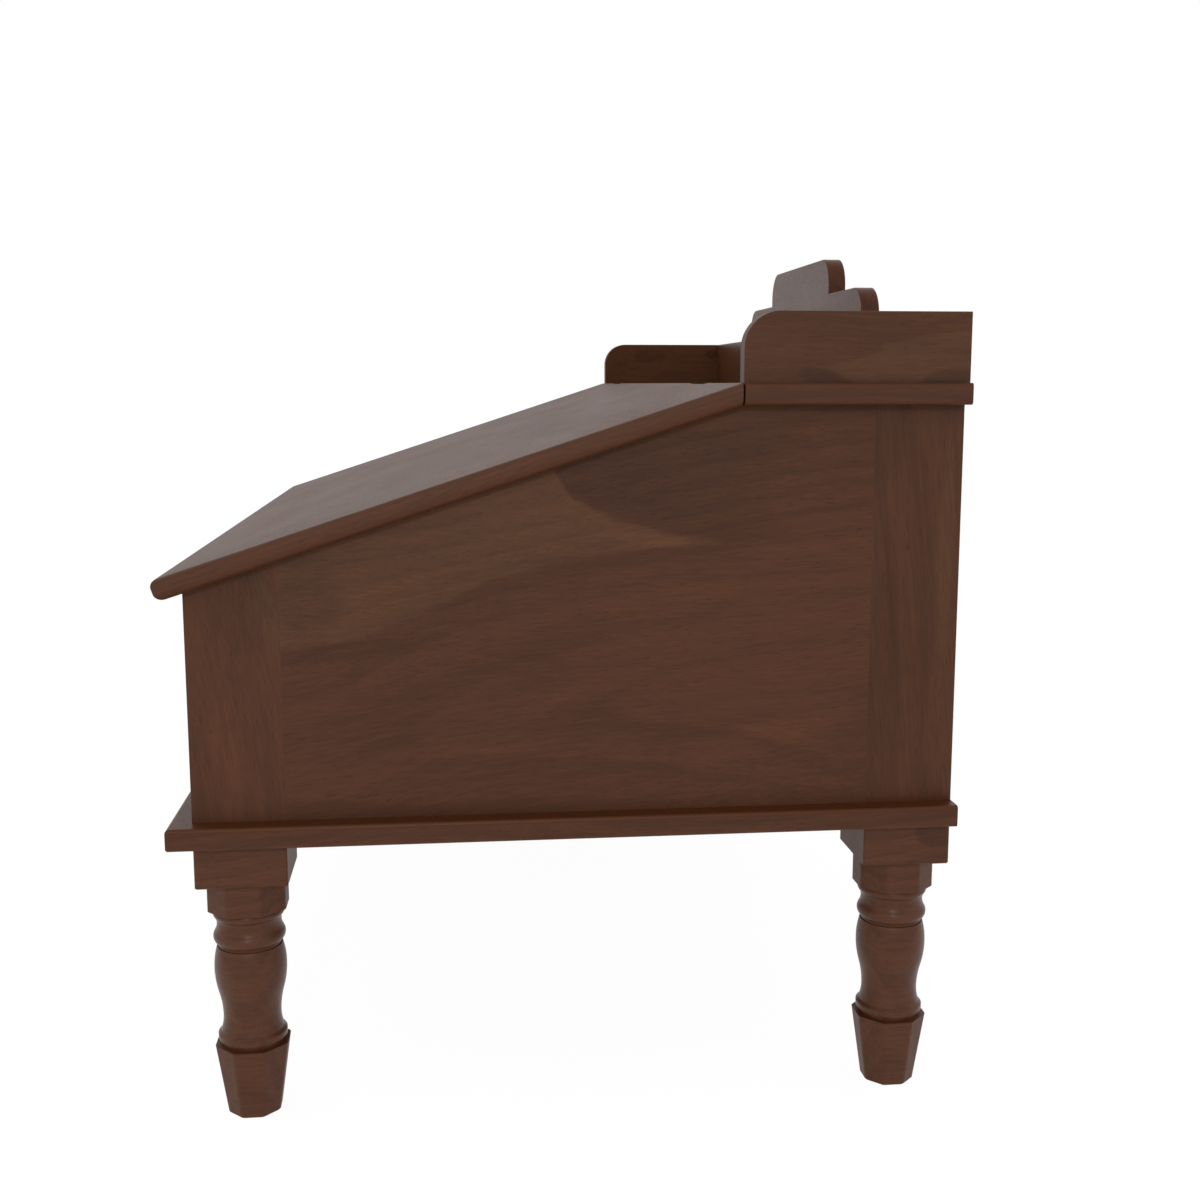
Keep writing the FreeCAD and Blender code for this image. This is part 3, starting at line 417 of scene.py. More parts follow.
@dataclass(frozen=True)
class Palette:
    """A wood's colours."""

    dark: Triple
    middle: Triple
    light: Triple
    sap: Triple

    def of(self, tone: Tone) -> Triple:
        """Finds the colour of a tone, and returns it."""
        return getattr(self, tone.value)


WALNUT = Palette(linear(58, 33, 20), linear(76, 45, 27), linear(90, 53, 32), linear(80, 51, 31))
RUDDY = Palette(linear(64, 37, 24), linear(83, 50, 32), linear(101, 62, 41), linear(83, 53, 34))
BEECH = Palette(linear(150, 112, 72), linear(186, 148, 104), linear(205, 170, 126), linear(205, 176, 136))
# The brown of the dark lines: painted shade in corners, under edges and in the legs' grooves, and dark joints
# at seams
SHADE_AND_JOINT_BROWN = linear(72, 37, 13)
# The pale of the edges: wear, with a painted highlight along them
WEAR_AND_HIGHLIGHT = linear(112, 70, 44)


@dataclass(frozen=True)
class Flame:
    """A tongue of sapwood on a face that looks along X, by its tip and its two edges.

    The edges' points are how far into the tongue and how far above the tip they are, in metres.
    """

    tip: Point
    opens: int
    lower: tuple[Point, ...]
    upper: tuple[Point, ...]
    soft: float = 0.0022
    rim: float = 0.5
    reach: float = 0.3
    swing: float = 0.1
    ripple: float = 0.012
    ripple_scale: Triple = (40.0, 14.0, 130.0)

    def edge(self, graph: Graph, along: NodeSocket, points: Iterable[Point]) -> NodeSocket:
        """Reads how high an edge is.

        Args:
            graph: The material's graph.
            along: How far into the tongue.
            points: The edge's points.

        Returns:
            The height over the tip.
        """
        share = graph.put(
            "ShaderNodeMath", {0: along, 1: self.reach}, operation="DIVIDE", use_clamp=True
        ).outputs[0]
        line = [(at / self.reach, 0.5 + level / self.swing / 2) for at, level in ((0.0, 0.0), *points)]
        if line[-1][0] < 1.0:
            line.append((1.0, line[-1][1]))
        level = graph.curve(share, line)
        return graph.maths("MULTIPLY", graph.maths("SUBTRACT", level, 0.5), 2 * self.swing)

    def masks(self, graph: Graph, place: NodeSocket, effects: Effects) -> NodeOutputs:
        """Works out where the sapwood and its dark rim are.

        Args:
            graph: The material's graph.
            place: The place on the object.
            effects: The shared effects.

        Returns:
            The two masks.
        """
        parts = graph.put("ShaderNodeSeparateXYZ", {0: place}).outputs
        ripple = graph.noise(place, self.ripple_scale, 3.0, 0.6).outputs["Fac"]
        ripple = graph.maths("MULTIPLY_ADD", ripple, self.ripple, -self.ripple / 2)
        along = graph.maths("MULTIPLY_ADD", parts["Y"], float(self.opens), -self.opens * self.tip[0])
        over = graph.maths("ADD", graph.maths("SUBTRACT", parts["Z"], self.tip[1]), ripple)
        return graph.group(
            effects.flame,
            below=graph.maths("SUBTRACT", over, self.edge(graph, along, self.lower)),
            above=graph.maths("SUBTRACT", self.edge(graph, along, self.upper), over),
            along=along,
            soft=self.soft,
        )


@dataclass(frozen=True)
class Patch:
    """A darker or paler patch in the figure of a face that looks along X, by its middle and half lengths.

    Sapwood covers it, unless it lies in the sapwood too.
    """

    middle: Point
    size: Point
    tilt: float = 0.0
    tone: Tone = Tone.DARK
    share: float = 0.7
    soft: float = 0.35
    ragged: float = 0.9
    in_sap: bool = False
    edge: float = 0.8
    ripple_scale: Triple = (30.0, 16.0, 90.0)

    def mask(self, graph: Graph, place: NodeSocket) -> NodeSocket:
        """Works out where the patch is.

        Args:
            graph: The material's graph.
            place: The place on the object.

        Returns:
            The mask.
        """
        fit = {
            "Vector": place, "Location": (0.0, *self.middle),
            "Rotation": (self.tilt, 0.0, 0.0), "Scale": (1.0, *self.size),
        }
        inside = graph.put("ShaderNodeMapping", fit, vector_type="TEXTURE").outputs[0]
        span = graph.length(graph.vector("MULTIPLY", inside, (0.0, 1.0, 1.0)))
        ripple = graph.noise(place, self.ripple_scale, 3.0, 0.6).outputs["Fac"]
        ripple = graph.maths("MULTIPLY_ADD", ripple, self.ragged, -self.ragged / 2)
        out = graph.maths("ADD", span, ripple)
        return graph.fade(out, self.edge - self.soft, self.edge + self.soft, self.share, 0.0)


@dataclass(frozen=True)
class Plane:
    """A flat face, by a point on it and the way that distances from it are counted."""

    point: Triple
    way: Triple

    def distance(self, graph: Graph, place: NodeSocket) -> NodeSocket:
        """Works out how far a place is from the face, and returns it."""
        return graph.dot(graph.vector("SUBTRACT", place, self.point), self.way)


def level_face(height: float, way: float) -> Plane:
    """Works out a level face at a height, with distances counted up from it or down, and returns it."""
    return Plane((0.0, 0.0, height), (0.0, 0.0, way))


def both_ends(half: float) -> tuple[Plane, Plane]:
    """Works out the faces at half a length to each side, with distances counted outwards."""
    return Plane((half, 0.0, 0.0), (1.0, 0.0, 0.0)), Plane((-half, 0.0, 0.0), (-1.0, 0.0, 0.0))


@dataclass(frozen=True)
class Corner:
    """A dark line against a neighbour's faces, on a face of the piece itself: painted shade in corners and
    under edges, and a dark joint at seams.
    """

    faces: tuple[Plane, ...]
    width: float = 0.005
    depth: float = 0.8
    full: float = 0.0
    own: Optional[Plane] = None
    broken: float = 0.15

    def mask(self, graph: Graph, place: NodeSocket, effects: Effects) -> NodeSocket:
        """Works out where the dark line is.

        Args:
            graph: The material's graph.
            place: The place on the object.
            effects: The shared effects.

        Returns:
            The mask.
        """
        distance = graph.furthest("MAXIMUM", [face.distance(graph, place) for face in self.faces])
        distance = graph.maths("ABSOLUTE", distance)
        if self.own:
            distance = graph.maths("MAXIMUM", distance, self.own.distance(graph, place))
        line = graph.group(
            effects.line,
            vector=place,
            distance=distance,
            width=self.width,
            full=self.full,
            broken=self.broken,
        )
        return graph.maths("MULTIPLY", line["Mask"], self.depth)


@dataclass(frozen=True)
class Arris:
    """The edges round a face, painted pale: wear from hands, and a painted highlight along the arrises."""

    face: Plane
    sides: tuple[Plane, ...]
    depth: float
    width: float = 0.0025
    broken: float = 0.8

    def mask(self, graph: Graph, place: NodeSocket, effects: Effects) -> NodeSocket:
        """Works out where the edges are painted pale, and returns the mask."""
        inward = graph.furthest("MINIMUM", [side.distance(graph, place) for side in self.sides])
        distance = graph.maths("MAXIMUM", inward, self.face.distance(graph, place))
        line = graph.group(
            effects.line, vector=place, distance=distance, width=self.width, full=0.0, broken=self.broken
        )
        return graph.maths("MULTIPLY", line["Mask"], self.depth)


def empty_material(name: str) -> tuple[Material, Graph]:
    """Makes a material with no nodes, and returns it with its graph."""
    made = bpy.data.materials.new(name)
    made.use_nodes = True
    made.node_tree.nodes.clear()
    return made, Graph(made.node_tree)


# How strongly each layer of the figure shows and the tone that it brings, and how far the clouds darken
LAYERS = (
    ("Rings", 0.30, Tone.LIGHT),
    ("Streaks", 0.40, Tone.LIGHT),
    ("Fibre", 0.36, Tone.DARK),
    ("Pores", 0.45, Tone.DARK),
)
CLOUDING = 0.5
# How far a face looks along X where lipping covers it, and where the shade of an end comes in
LIPPED = (0.70, 0.72)
SHADED = (0.60, 0.98)
# What the dark lines of painted shade and joints add to the roughness, and how the grain shows through the
# varnish
DARK_LINE_DULLNESS = -0.1
GRAIN_BUMP = {"Strength": 0.10, "Distance": 0.0002}


@dataclass(frozen=True)
class Wood:
    """A board's finish: how it was sawn from the log, its figure, and its varnish.

    A lipped board has edges of its own grain, along the depth, on the faces that look along X.
    """

    name: str
    grain: Grain
    heart: Triple
    lean: Point = (0.0, 0.0)
    ring: float = 0.010
    wander: float = 0.05
    gloss: Gloss = Gloss.SATIN
    shine: float = 0.17
    palette: Palette = WALNUT
    flame: Optional[Flame] = None
    patches: tuple[Patch, ...] = ()
    corners: tuple[Corner, ...] = ()
    arrises: tuple[Arris, ...] = ()
    lipping: Optional[Point] = None
    end_shade: float = 0.0
    lathe: Optional[Point] = None

    def material(self, effects: Effects) -> Material:
        """Makes the finish's material.

        Args:
            effects: The shared effects.

        Returns:
            The material.
        """
        made, graph = empty_material(self.name)
        seen = graph.put("ShaderNodeTexCoord").outputs
        place = seen["Object"]
        sideways = graph.maths("ABSOLUTE", graph.dot(seen["Normal"], (1.0, 0.0, 0.0)))
        log = self.in_log(graph, place, self.grain, self.lean)
        if self.lipping:
            edge = self.in_log(graph, place, Grain.DEPTH, self.lipping)
            log = graph.mix(graph.fade(sideways, *LIPPED), log, edge, "Vector")
        wood = graph.group(effects.figure, vector=log, ring_width=self.ring, wander=self.wander)
        colour = self.figured(graph, place, wood, effects)
        ends = graph.fade(sideways, *SHADED, 0.0, self.end_shade)
        colour = graph.mix(ends, colour, self.palette.dark)
        coat = graph.group(
            effects.varnish, vector=log, pores=wood["Pores"], fibre=wood["Fibre"], dullness=self.gloss.value
        )
        rough = self.turned(graph, place, coat["Roughness"])
        # Dark lines: painted shade in corners, under edges and in grooves, and dark joints at seams
        for corner in self.corners:
            mask = corner.mask(graph, place, effects)
            colour = graph.mix(mask, colour, SHADE_AND_JOINT_BROWN)
            rough = graph.maths("MULTIPLY_ADD", mask, DARK_LINE_DULLNESS, rough)
        # Pale edges: wear, with a painted highlight along them
        for arris in self.arrises:
            colour = graph.mix(arris.mask(graph, place, effects), colour, WEAR_AND_HIGHLIGHT)
        bump = graph.put("ShaderNodeBump", {"Height": coat["Height"], **GRAIN_BUMP})
        shader = graph.put(
            "ShaderNodeBsdfPrincipled",
            {
                "Base Color": colour,
                "Roughness": rough,
                "Normal": bump.outputs[0],
                "Specular IOR Level": self.shine,
            },
        )
        graph.put("ShaderNodeOutputMaterial", {"Surface": shader.outputs[0]})
        return made

    def turned(self, graph: Graph, place: NodeSocket, rough: NodeSocket) -> NodeSocket:
        """Makes a piece shinier between the two heights that were polished on the lathe.

        Args:
            graph: The material's graph.
            place: The place on the object.
            rough: The roughness so far.

        Returns:
            The roughness.
        """
        if self.lathe is None:
            return rough
        height = graph.dot(place, (0.0, 0.0, 1.0))
        low, high = self.lathe
        over = graph.maths("GREATER_THAN", height, low)
        inside = graph.maths("MULTIPLY", over, graph.maths("LESS_THAN", height, high))
        return graph.maths("MULTIPLY_ADD", inside, Gloss.TURNED.value - self.gloss.value, rough)

    def in_log(self, graph: Graph, place: NodeSocket, grain: Grain, lean: Point) -> NodeSocket:
        """Turns a place on the desk into a place in the log.

        Args:
            graph: The material's graph.
            place: The place on the object.
            grain: The way that the grain runs.
            lean: How far the grain leans from that.

        Returns:
            The place, with the grain along X.
        """
        inside = graph.vector("SUBTRACT", place, self.heart)
        for turn in (grain.value, (0.0, *lean)):
            inside = graph.put("ShaderNodeMapping", {"Vector": inside, "Rotation": turn}).outputs[0]
        return inside

    def figured(self, graph: Graph, place: NodeSocket, wood: NodeOutputs, effects: Effects) -> NodeSocket:
        """Works out the wood's colour.

        Args:
            graph: The material's graph.
            place: The place on the object.
            wood: The figure's outputs.
            effects: The shared effects.

        Returns:
            The colour.
        """
        kinds = self.palette
        colour = graph.mix(graph.fade(wood["Clouds"], 0.0, 1.0, CLOUDING, 0.0), kinds.middle, kinds.dark)
        for name, strength, tone in LAYERS:
            colour = graph.mix(graph.maths("MULTIPLY", wood[name], strength), colour, kinds.of(tone))
        heartwood = 1.0
        if self.flame:
            masks = self.flame.masks(graph, place, effects)
            heartwood = graph.maths("SUBTRACT", 1.0, masks["Sap"])
            rim = graph.maths("MULTIPLY", masks["Rim"], self.flame.rim)
            colour = graph.stain(rim, colour, kinds.middle, kinds.dark)
            colour = graph.stain(masks["Sap"], colour, kinds.middle, kinds.sap)
        for patch in self.patches:
            mask = patch.mask(graph, place)
            if not patch.in_sap:
                mask = graph.maths("MULTIPLY", mask, heartwood)
            colour = graph.stain(mask, colour, kinds.middle, kinds.of(patch.tone))
        return colour


# How tarnish clouds a metal, the levels between which it comes in, and how much duller it is there
TARNISH_SCALE = (160.0, 160.0, 160.0)
TARNISHED = (0.38, 0.66)
TARNISH_DULLNESS = 0.22
# How a metal was brushed
BRUSH_SCALE = (90.0, 2600.0, 2600.0)
BRUSH_BUMP = {"Strength": 0.1, "Distance": 0.0001}


@dataclass(frozen=True)
class Metal:
    """A metal's finish: its bright colour, the tarnish on it, and how it reflects at its edges."""

    name: str
    bright: Triple
    tarnish: Triple
    edge: Triple
    dullness: float

    def material(self) -> Material:
        """Makes the finish's material and returns it."""
        made, graph = empty_material(self.name)
        place = graph.put("ShaderNodeTexCoord").outputs["Object"]
        cloud = graph.noise(place, TARNISH_SCALE, 4.0).outputs["Fac"]
        brushed = graph.noise(place, BRUSH_SCALE, 2.0).outputs["Fac"]
        colour = graph.mix(graph.fade(cloud, *TARNISHED), self.bright, self.tarnish)
        rough = graph.maths("MULTIPLY_ADD", cloud, TARNISH_DULLNESS, self.dullness)
        bump = graph.put("ShaderNodeBump", {"Height": brushed, **BRUSH_BUMP})
        shader = graph.put(
            "ShaderNodeBsdfPrincipled",
            {
                "Base Color": colour,
                "Roughness": rough,
                "Metallic": 1.0,
                "Specular Tint": self.edge,
                "Normal": bump.outputs[0],
            },
        )
        graph.put("ShaderNodeOutputMaterial", {"Surface": shader.outputs[0]})
        return made


def dress(material: Material, *names: str) -> None:
    """Gives a material to the model's nodes of these names."""
    for name in names:
        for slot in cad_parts[name].material_slots:
            slot.material = material
        LOG.info("%s: %s", name, material.name)


def wear_and_highlight_edges(low: Vector, high: Vector, above: float, below: float) -> tuple[Arris, ...]:
    """Works out the pale edges of a level board, above and below: wear, with a painted highlight along them.

    Args:
        low: The board's lowest corner.
        high: The board's highest corner.
        above: How pale its upper edges are painted.
        below: How pale its lower edges are painted.

    Returns:
        The edges round its top and those round its underside.
    """
    sides = (
        Plane((low.x, 0.0, 0.0), (1.0, 0.0, 0.0)),
        Plane((high.x, 0.0, 0.0), (-1.0, 0.0, 0.0)),
        Plane((0.0, low.y, 0.0), (0.0, 1.0, 0.0)),
    )
    return Arris(level_face(high.z, -1.0), sides, above), Arris(level_face(low.z, 1.0), sides, below)


def dark_rims(half: float, faces: Iterable[Plane], width: float) -> tuple[Corner, ...]:
    """Works out dark lines along the two ends of a board: painted shade on a face underneath, and a dark
    joint on a face on top.

    Args:
        half: Half of the board's length along X.
        faces: The faces that the lines run along.
        width: The lines' width.

    Returns:
        The lines.
    """
    return tuple(Corner(both_ends(half), width, depth=0.9, full=0.5, own=face) for face in faces)


@dataclass
class Carcass:
    """The box: two sides of a panel and two stiles, front, back, base board and glue blocks."""

    effects: Effects
    lid_underside: Plane
    wall: float = 0.345
    base_top: float = 0.1806
    shelf_under: float = 0.4082
    ledge: float = 0.0150
    ledge_fall: float = 5.5
    seam: float = 0.0016
    panel_flame: Flame = Flame(
        tip=(0.0868, 0.3324),
        opens=-1,
        lower=((0.0582, -0.0037), (0.1113, -0.0125), (0.1684, -0.0377), (0.2066, -0.0514), (0.2443, -0.0562)),
        upper=((0.036, 0.0066), (0.0538, 0.0117), (0.0803, 0.023), (0.0934, 0.0384), (0.112, 0.08)),
    )
    panel_patches: tuple[Patch, ...] = (
        Patch((0.060, 0.373), (0.085, 0.024), 0.2, share=0.45),
        Patch((-0.11, 0.276), (0.050, 0.007), 0.1, share=0.3),
        Patch((-0.019, 0.263), (0.022, 0.012), share=0.2),
        Patch((0.015, 0.252), (0.045, 0.006), 0.28, tone=Tone.LIGHT, share=0.4),
        Patch((0.115, 0.222), (0.060, 0.009), 0.24, tone=Tone.LIGHT, share=0.45),
        Patch((-0.060, 0.2165), (0.045, 0.005), tone=Tone.LIGHT, share=0.35),
        Patch((0.050, 0.334), (0.030, 0.004), -0.1, tone=Tone.LIGHT, share=0.45, in_sap=True),
        Patch((-0.095, 0.307), (0.035, 0.008), 0.3, tone=Tone.LIGHT, share=0.25, in_sap=True),
        Patch((-0.1440, 0.3020), (0.024, 0.030), share=0.4, in_sap=True),
    )
    front_stile_patches: tuple[Patch, ...] = (
        Patch((-0.164, 0.296), (0.007, 0.026), 0.25, tone=Tone.PALE, share=1.0),
        Patch((-0.190, 0.215), (0.012, 0.040), tone=Tone.LIGHT, share=0.5),
        Patch((-0.1800, 0.302), (0.024, 0.040), share=0.35),
    )
    rear_stile_patches: tuple[Patch, ...] = (
        Patch((0.180, 0.25), (0.017, 0.08), share=0.3),
        Patch((0.174, 0.386), (0.016, 0.03), share=0.35),
        Patch((0.214, 0.32), (0.005, 0.09), tone=Tone.PALE, share=1.0),
    )

    def corners(self) -> tuple[Corner, ...]:
        """Works out the lines of painted shade along the base board and under the lid, and returns them."""
        return (
            Corner((level_face(self.base_top, 1.0),), depth=0.06),
            Corner((self.lid_underside,), width=0.003, depth=0.15),
        )

    def seams(self) -> tuple[Corner, ...]:
        """Works out the thin dark joints over and under the back board, and returns them."""
        heights = (self.base_top, self.shelf_under)
        return tuple(Corner((level_face(height, 1.0),), self.seam) for height in heights)

    def base_finish(self) -> Wood:
        """Works out the base board's finish, with painted shade on the ledge beside the walls and pale edges
        from wear and a painted highlight, and returns it.
        """
        low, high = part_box("base_board")
        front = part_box("front_board")[0].y
        # Painted shade: a dark band on the ledge beside the walls and the front board
        walls = Corner(
            (*both_ends(self.wall), Plane((0.0, front, 0.0), (0.0, -1.0, 0.0))),
            width=self.ledge,
            depth=0.95,
            full=0.85,
            own=level_face(self.base_top, -self.ledge_fall),
        )
        return Wood(
            "base_walnut",
            Grain.WIDTH,
            heart=(0.4, 0.02, 0.08),
            lean=(0.02, 0.03),
            lipping=(0.02, 0.0),
            corners=(walls,),
            arrises=wear_and_highlight_edges(low, high, above=0.08, below=0.3),
        )

    def side_finishes(self, side: Side) -> dict[str, Wood]:
        """Works out the finishes of one side, with the sapwood on the right.

        Args:
            side: The side.

        Returns:
            The finishes of its panel and its stiles, by the piece's name without the side.
        """
        name, wall = side.name.lower(), side.value * self.wall
        corners = self.corners()
        # Painted shade at the foot of the rear stile
        rear_foot = Corner(corners[0].faces, width=0.0040, depth=0.7, full=0.5)
        flame = self.panel_flame if side is Side.RIGHT else None
        return {
            "side_panel": Wood(
                f"{name}_panel_walnut",
                Grain.DEPTH,
                heart=(wall - side.value * 0.09, 0.06, 0.235),
                lean=(0.09, 0.10),
                flame=flame,
                corners=corners,
                patches=self.panel_patches if flame else self.panel_patches[1:],
            ),
            "front_stile": Wood(
                f"{name}_front_stile_walnut",
                Grain.UPRIGHT,
                heart=(wall - 0.07, -0.165, 0.05),
                lean=(0.05, 0.12),
                corners=corners,
                patches=self.front_stile_patches,
            ),
            "rear_stile": Wood(
                f"{name}_rear_stile_walnut",
                Grain.UPRIGHT,
                heart=(wall - 0.08, 0.225, 0.35),
                lean=(-0.03, 0.08),
                corners=(*corners, rear_foot),
                patches=self.rear_stile_patches,
            ),
        }

    def dress(self) -> None:
        """Gives the box its finishes."""
        for side in Side:
            for node, board in self.side_finishes(side).items():
                dress(board.material(self.effects), f"{side.name.lower()}_{node}")
        front = Wood(
            "front_walnut",
            Grain.WIDTH,
            heart=(0.1, -0.13, 0.23),
            lean=(0.04, 0.06),
            # Painted shade along its foot
            corners=self.corners()[:1],
        )
        back = Wood(
            "back_walnut",
            Grain.WIDTH,
            heart=(0.2, 0.12, 0.29),
            lean=(-0.03, 0.05),
            corners=self.seams(),
        )
        boards = {"front_board": front, "back_board": back, "base_board": self.base_finish()}
        for node, board in boards.items():
            dress(board.material(self.effects), node)
        blocks = [f"{end.name}_{side.name}_corner_block".lower() for end in End for side in Side]
        bare = Wood("block_beech", Grain.UPRIGHT, heart=(0.1, 0.1, 0.1), gloss=Gloss.BARE, palette=BEECH)
        dress(bare.material(self.effects), *blocks)


@dataclass
class Top:
    """The fixed shelf and the gallery round it."""

    effects: Effects
    rim: float = 0.0022
    seam: float = 0.0016
    gallery_flame: Flame = Flame(
        tip=(0.1325, 0.4289),
        opens=1,
        lower=((0.0116, -0.0027), (0.0227, -0.0085), (0.05, -0.02)),
        upper=((0.0116, 0.0011), (0.0239, 0.0033), (0.0347, 0.0075), (0.047, 0.0128), (0.0891, 0.0204)),
        soft=0.0014,
        rim=0.12,
    )
    gallery_patches: tuple[Patch, ...] = (
        Patch((0.1425, 0.4222), (0.020, 0.0055), -0.2, share=0.55, soft=0.2, ragged=0.5),
        Patch((0.2105, 0.4236), (0.0190, 0.0056), 0.12, share=0.6, soft=0.15, ragged=0.4, in_sap=True),
    )
    left_patches: tuple[Patch, ...] = (
        Patch((0.1410, 0.4475), (0.0215, 0.0085), share=0.5, soft=0.14, ragged=0.35),
        Patch((0.2052, 0.4492), (0.0100, 0.0052), share=0.75, soft=0.16, ragged=0.3),
    )

    def dress(self) -> None:
        """Gives the shelf and the gallery their finishes."""
        low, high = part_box("top_shelf")
        upper, lower = level_face(high.z, -1.0), level_face(low.z, 1.0)
        finishes = {
            "top_shelf": Wood(
                "shelf_walnut",
                Grain.WIDTH,
                heart=(0.3, 0.15, 0.33),
                lean=(0.03, 0.04),
                lipping=(0.03, 0.0),
                end_shade=0.15,
                # Painted shade along the shelf's ends underneath, and a dark joint along them on top
                corners=dark_rims(high.x, (upper, lower), self.rim),
            ),
            "right_gallery_end": Wood(
                "right_gallery_walnut",
                Grain.DEPTH,
                heart=(0.27, 0.1, 0.46),
                lean=(0.06, 0.05),
                flame=self.gallery_flame,
                patches=self.gallery_patches,
            ),
            "left_gallery_end": Wood(
                "left_gallery_walnut",
                Grain.DEPTH,
                heart=(-0.27, 0.2, 0.43),
                lean=(0.05, 0.1),
                shine=0.06,
                patches=self.left_patches,
            ),
            "gallery_crest": Wood(
                "crest_walnut",
                Grain.WIDTH,
                heart=(0.5, 0.14, 0.45),
                lean=(0.04, 0.05),
                gloss=Gloss.POLISHED,
                shine=0.10,
                end_shade=0.2,
                corners=(Corner((upper,), self.seam),),
            ),
        }
        for node, finish in finishes.items():
            dress(finish.material(self.effects), node)


@dataclass
class Lid:
    """The sloping lid and its battens."""

    effects: Effects
    slope: float = math.radians(18.1)
    thickness: float = 0.012
    hinge_line: Point = (0.09435, 0.4202)
    rim: float = 0.003

    def underside(self) -> Plane:
        """Works out the face under the closed lid, and returns it."""
        sine, cosine = math.sin(self.slope), math.cos(self.slope)
        back, top = self.hinge_line
        point = (0.0, back + self.thickness * sine, top - self.thickness * cosine)
        return Plane(point, (0.0, -sine, cosine))

    def dress(self) -> None:
        """Gives the lid and the battens their finishes."""
        board = Wood(
            "lid_walnut",
            Grain.WIDTH,
            heart=(0.1, -0.05, 0.22),
            lean=(0.02, 0.03),
            lipping=(self.slope, 0.0),
            # Painted shade along the ends of its underside
            corners=dark_rims(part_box("lid_board")[1].x, (self.underside(),), self.rim),
        )
        dress(board.material(self.effects), "lid_board")
        for side in Side:
            name = side.name.lower()
            heart = (side.value * 0.15, 0.0, 0.28)
            batten = Wood(f"{name}_batten_walnut", Grain.DEPTH, heart, lean=(0.32, 0.0))
            dress(batten.material(self.effects), f"{name}_lid_batten")


@dataclass
class Legs:
    """The four turned legs."""

    effects: Effects
    across: float = 0.3195
    heart: Triple = (-0.06, 0.1, 0.05)
    lathe: Point = (0.0423, 0.1233)
    grooves: tuple[Point, ...] = ((0.0438, 0.0022), (0.1020, 0.0014), (0.1181, 0.0010))
    block_patches: tuple[Patch, ...] = (
        Patch((0.2126, 0.1600), (0.0145, 0.0085), -0.2, share=0.65, soft=0.14, ragged=0.35),
        Patch((0.2150, 0.1470), (0.0230, 0.0058), 0.2, share=0.35, soft=0.2, ragged=0.35),
    )

    def dress(self) -> None:
        """Gives each leg its own piece of wood."""
        # Painted shade: dark lines round the turned grooves
        lines = tuple(Corner((level_face(height, 1.0),), width, full=0.5) for height, width in self.grooves)
        for end in End:
            for side in Side:
                name = f"{end.name}_{side.name}".lower()
                patches = self.block_patches if (end, side) == (End.BACK, Side.RIGHT) else ()
                heart = Vector((side.value * self.across, end.value, 0.0)) + Vector(self.heart)
                wood = Wood(
                    f"{name}_leg_walnut",
                    Grain.DEPTH,
                    tuple(heart),
                    lean=(0.03, 0.06),
                    palette=RUDDY,
                    patches=patches,
                    corners=lines,
                    lathe=self.lathe,
                )
                dress(wood.material(self.effects), f"{name}_leg")


@dataclass
class Fittings:
    """The hinges, screws and pegs."""

    effects: Effects
    brass: Metal = Metal(
        "antique_brass",
        bright=linear(82, 60, 32),
        tarnish=linear(44, 30, 17),
        edge=linear(90, 66, 40),
        dullness=0.40,
    )
    steel: Metal = Metal(
        "screw_steel",
        bright=linear(150, 148, 144),
        tarnish=linear(84, 80, 76),
        edge=linear(230, 230, 230),
        dullness=0.28,
    )

    def dress(self) -> None:
        """Gives the metal and the pegs their finishes."""
        dress(self.brass.material(), *(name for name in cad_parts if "hinge" in name))
        dress(self.steel.material(), "batten_screws", "leg_screws", "base_screws")
        pegs = Wood("peg_beech", Grain.UPRIGHT, heart=(0.0, 0.0, 0.0), gloss=Gloss.BARE, palette=BEECH)
        dress(pegs.material(self.effects), "shelf_dowels", "gallery_dowels")


@dataclass(frozen=True)
class Lamp:
    """A soft lamp that points at the desk."""

    name: str
    place: Triple
    size: float
    watts: float

    def build(self, target: Vector) -> None:
        """Hangs the lamp, turned towards a point."""
        lamp = bpy.data.lights.new(self.name, "AREA")
        lamp.size, lamp.energy = self.size, self.watts
        stand = bpy.data.objects.new(self.name, lamp)
        stand.location = self.place
        stand.rotation_euler = (target - Vector(self.place)).to_track_quat("-Z", "Y").to_euler()
        bpy.context.scene.collection.objects.link(stand)


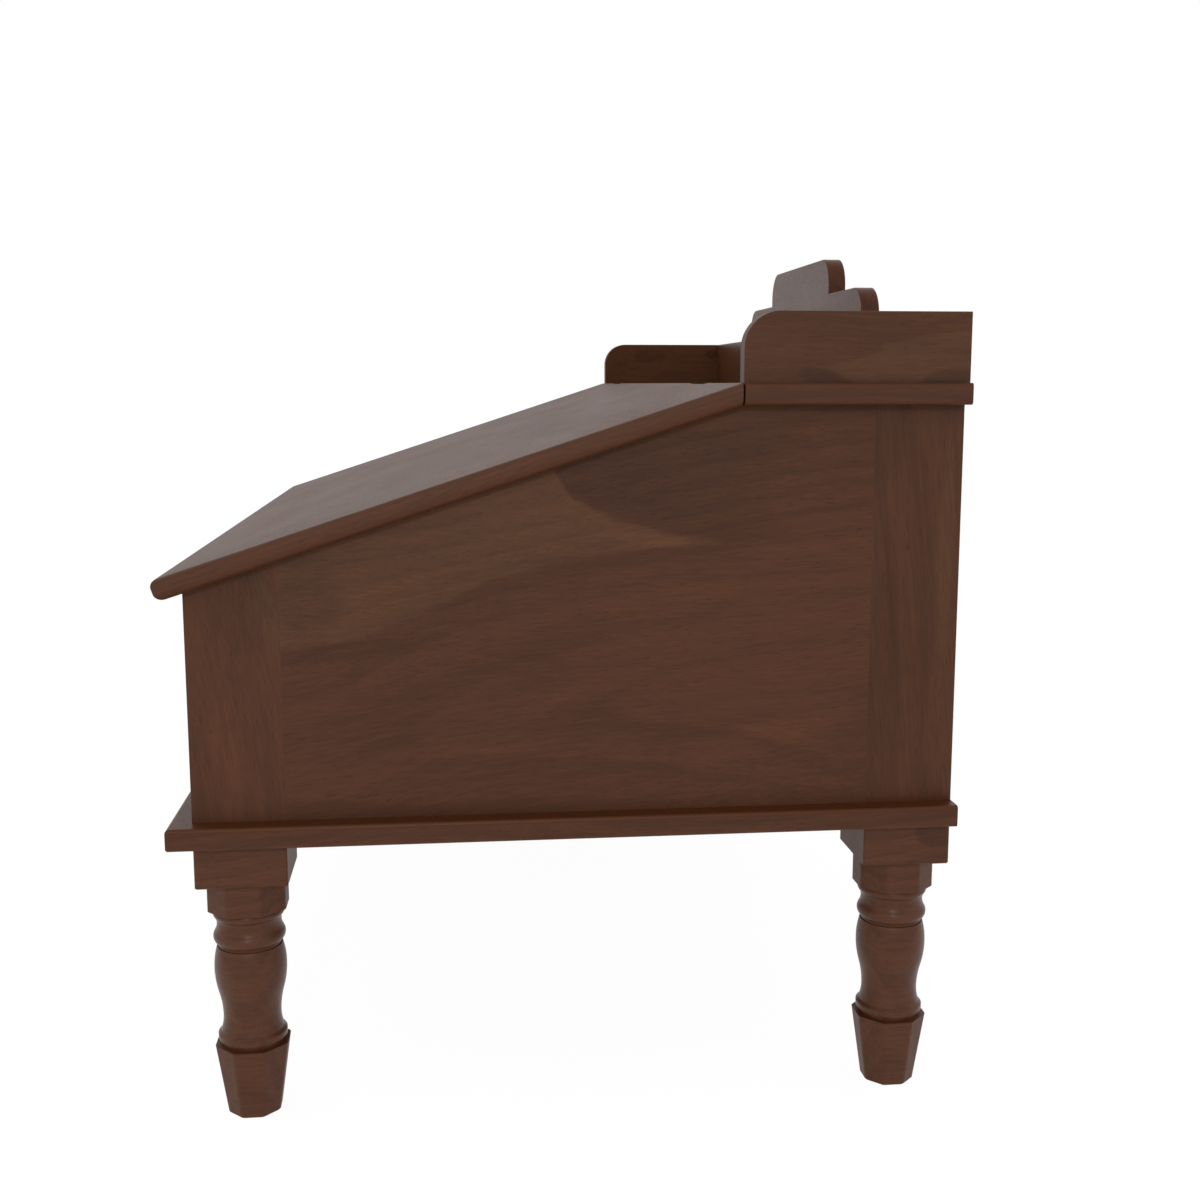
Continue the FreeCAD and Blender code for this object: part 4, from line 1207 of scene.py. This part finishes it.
@dataclass
class Studio:
    """The pale floor, the soft light and the camera."""

    eye: Triple = (1.1343, -0.0659, 0.41945)
    looking: Triple = (-0.98360, 0.10394, -0.14737)
    lens: float = 43.456
    sensor: float = 36.0
    nearest: float = 0.01
    floor_size: float = 60.0
    floor_colour: Triple = (0.86, 0.86, 0.86)
    floor_glow: float = 1.04
    floor_white: float = 0.92
    room: float = 0.86
    target: Triple = (0.0, 0.0, 0.25)
    lamps: tuple[Lamp, ...] = (
        Lamp("key", (2.6, -0.2, 1.1), 0.25, 12.0),
        Lamp("fill", (-0.9, -1.7, 1.6), 1.4, 5.0),
    )

    def build(self) -> None:
        """Makes the floor, the light and the camera."""
        self.lay_floor()
        self.light_room()
        for lamp in self.lamps:
            lamp.build(Vector(self.target))
        self.stand_camera()

    @staticmethod
    def seen(graph: Graph) -> NodeSocket:
        """Works out which rays see the backdrop itself, and returns the mask."""
        ray = graph.put("ShaderNodeLightPath").outputs
        direct = graph.maths("MAXIMUM", ray["Is Camera Ray"], ray["Is Glossy Ray"])
        return graph.maths("MAXIMUM", direct, ray["Is Transmission Ray"])

    def lay_floor(self) -> None:
        """Lays a white floor that keeps a faint shadow."""
        bpy.ops.mesh.primitive_plane_add(size=self.floor_size)
        floor = bpy.context.object
        floor.name = "floor"
        made, graph = empty_material("white_floor")
        matt = graph.put("ShaderNodeBsdfDiffuse", {"Color": self.floor_colour}).outputs[0]
        white = graph.put("ShaderNodeEmission", {"Strength": self.floor_glow}).outputs[0]
        share = graph.maths("MULTIPLY", self.seen(graph), self.floor_white)
        both = graph.put("ShaderNodeMixShader", {0: share, 1: matt, 2: white}).outputs[0]
        graph.put("ShaderNodeOutputMaterial", {"Surface": both})
        floor.data.materials.append(made)

    def light_room(self) -> None:
        """Lights the room evenly from all round."""
        world = bpy.data.worlds.new("white_room")
        bpy.context.scene.world = world
        world.use_nodes = True
        world.node_tree.nodes.clear()
        graph = Graph(world.node_tree)
        strength = graph.maths("MULTIPLY_ADD", self.seen(graph), 1.0 - self.room, self.room)
        back = graph.put("ShaderNodeBackground", {"Color": (1.0, 1.0, 1.0), "Strength": strength})
        graph.put("ShaderNodeOutputWorld", {"Surface": back.outputs[0]})

    def stand_camera(self) -> None:
        """Stands the camera where the photograph was taken from."""
        camera = bpy.data.cameras.new("camera")
        camera.sensor_width, camera.lens, camera.clip_start = self.sensor, self.lens, self.nearest
        turn = Vector(self.looking).to_track_quat("-Z", "Y").to_matrix().to_4x4()
        stand = bpy.data.objects.new("camera", camera)
        stand.matrix_world = Matrix.Translation(self.eye) @ turn
        scene = bpy.context.scene
        scene.collection.objects.link(stand)
        scene.camera = stand
        scene.view_settings.view_transform = "Standard"


def main() -> None:
    """Dresses the desk and builds the studio."""
    logging.basicConfig(level=logging.INFO, format="%(message)s")
    effects = Effects()
    lid = Lid(effects)
    carcass = Carcass(effects, lid.underside())
    for part in (carcass, Top(effects), lid, Legs(effects), Fittings(effects)):
        part.dress()
    Studio().build()


if __name__ == "__main__":
    main()
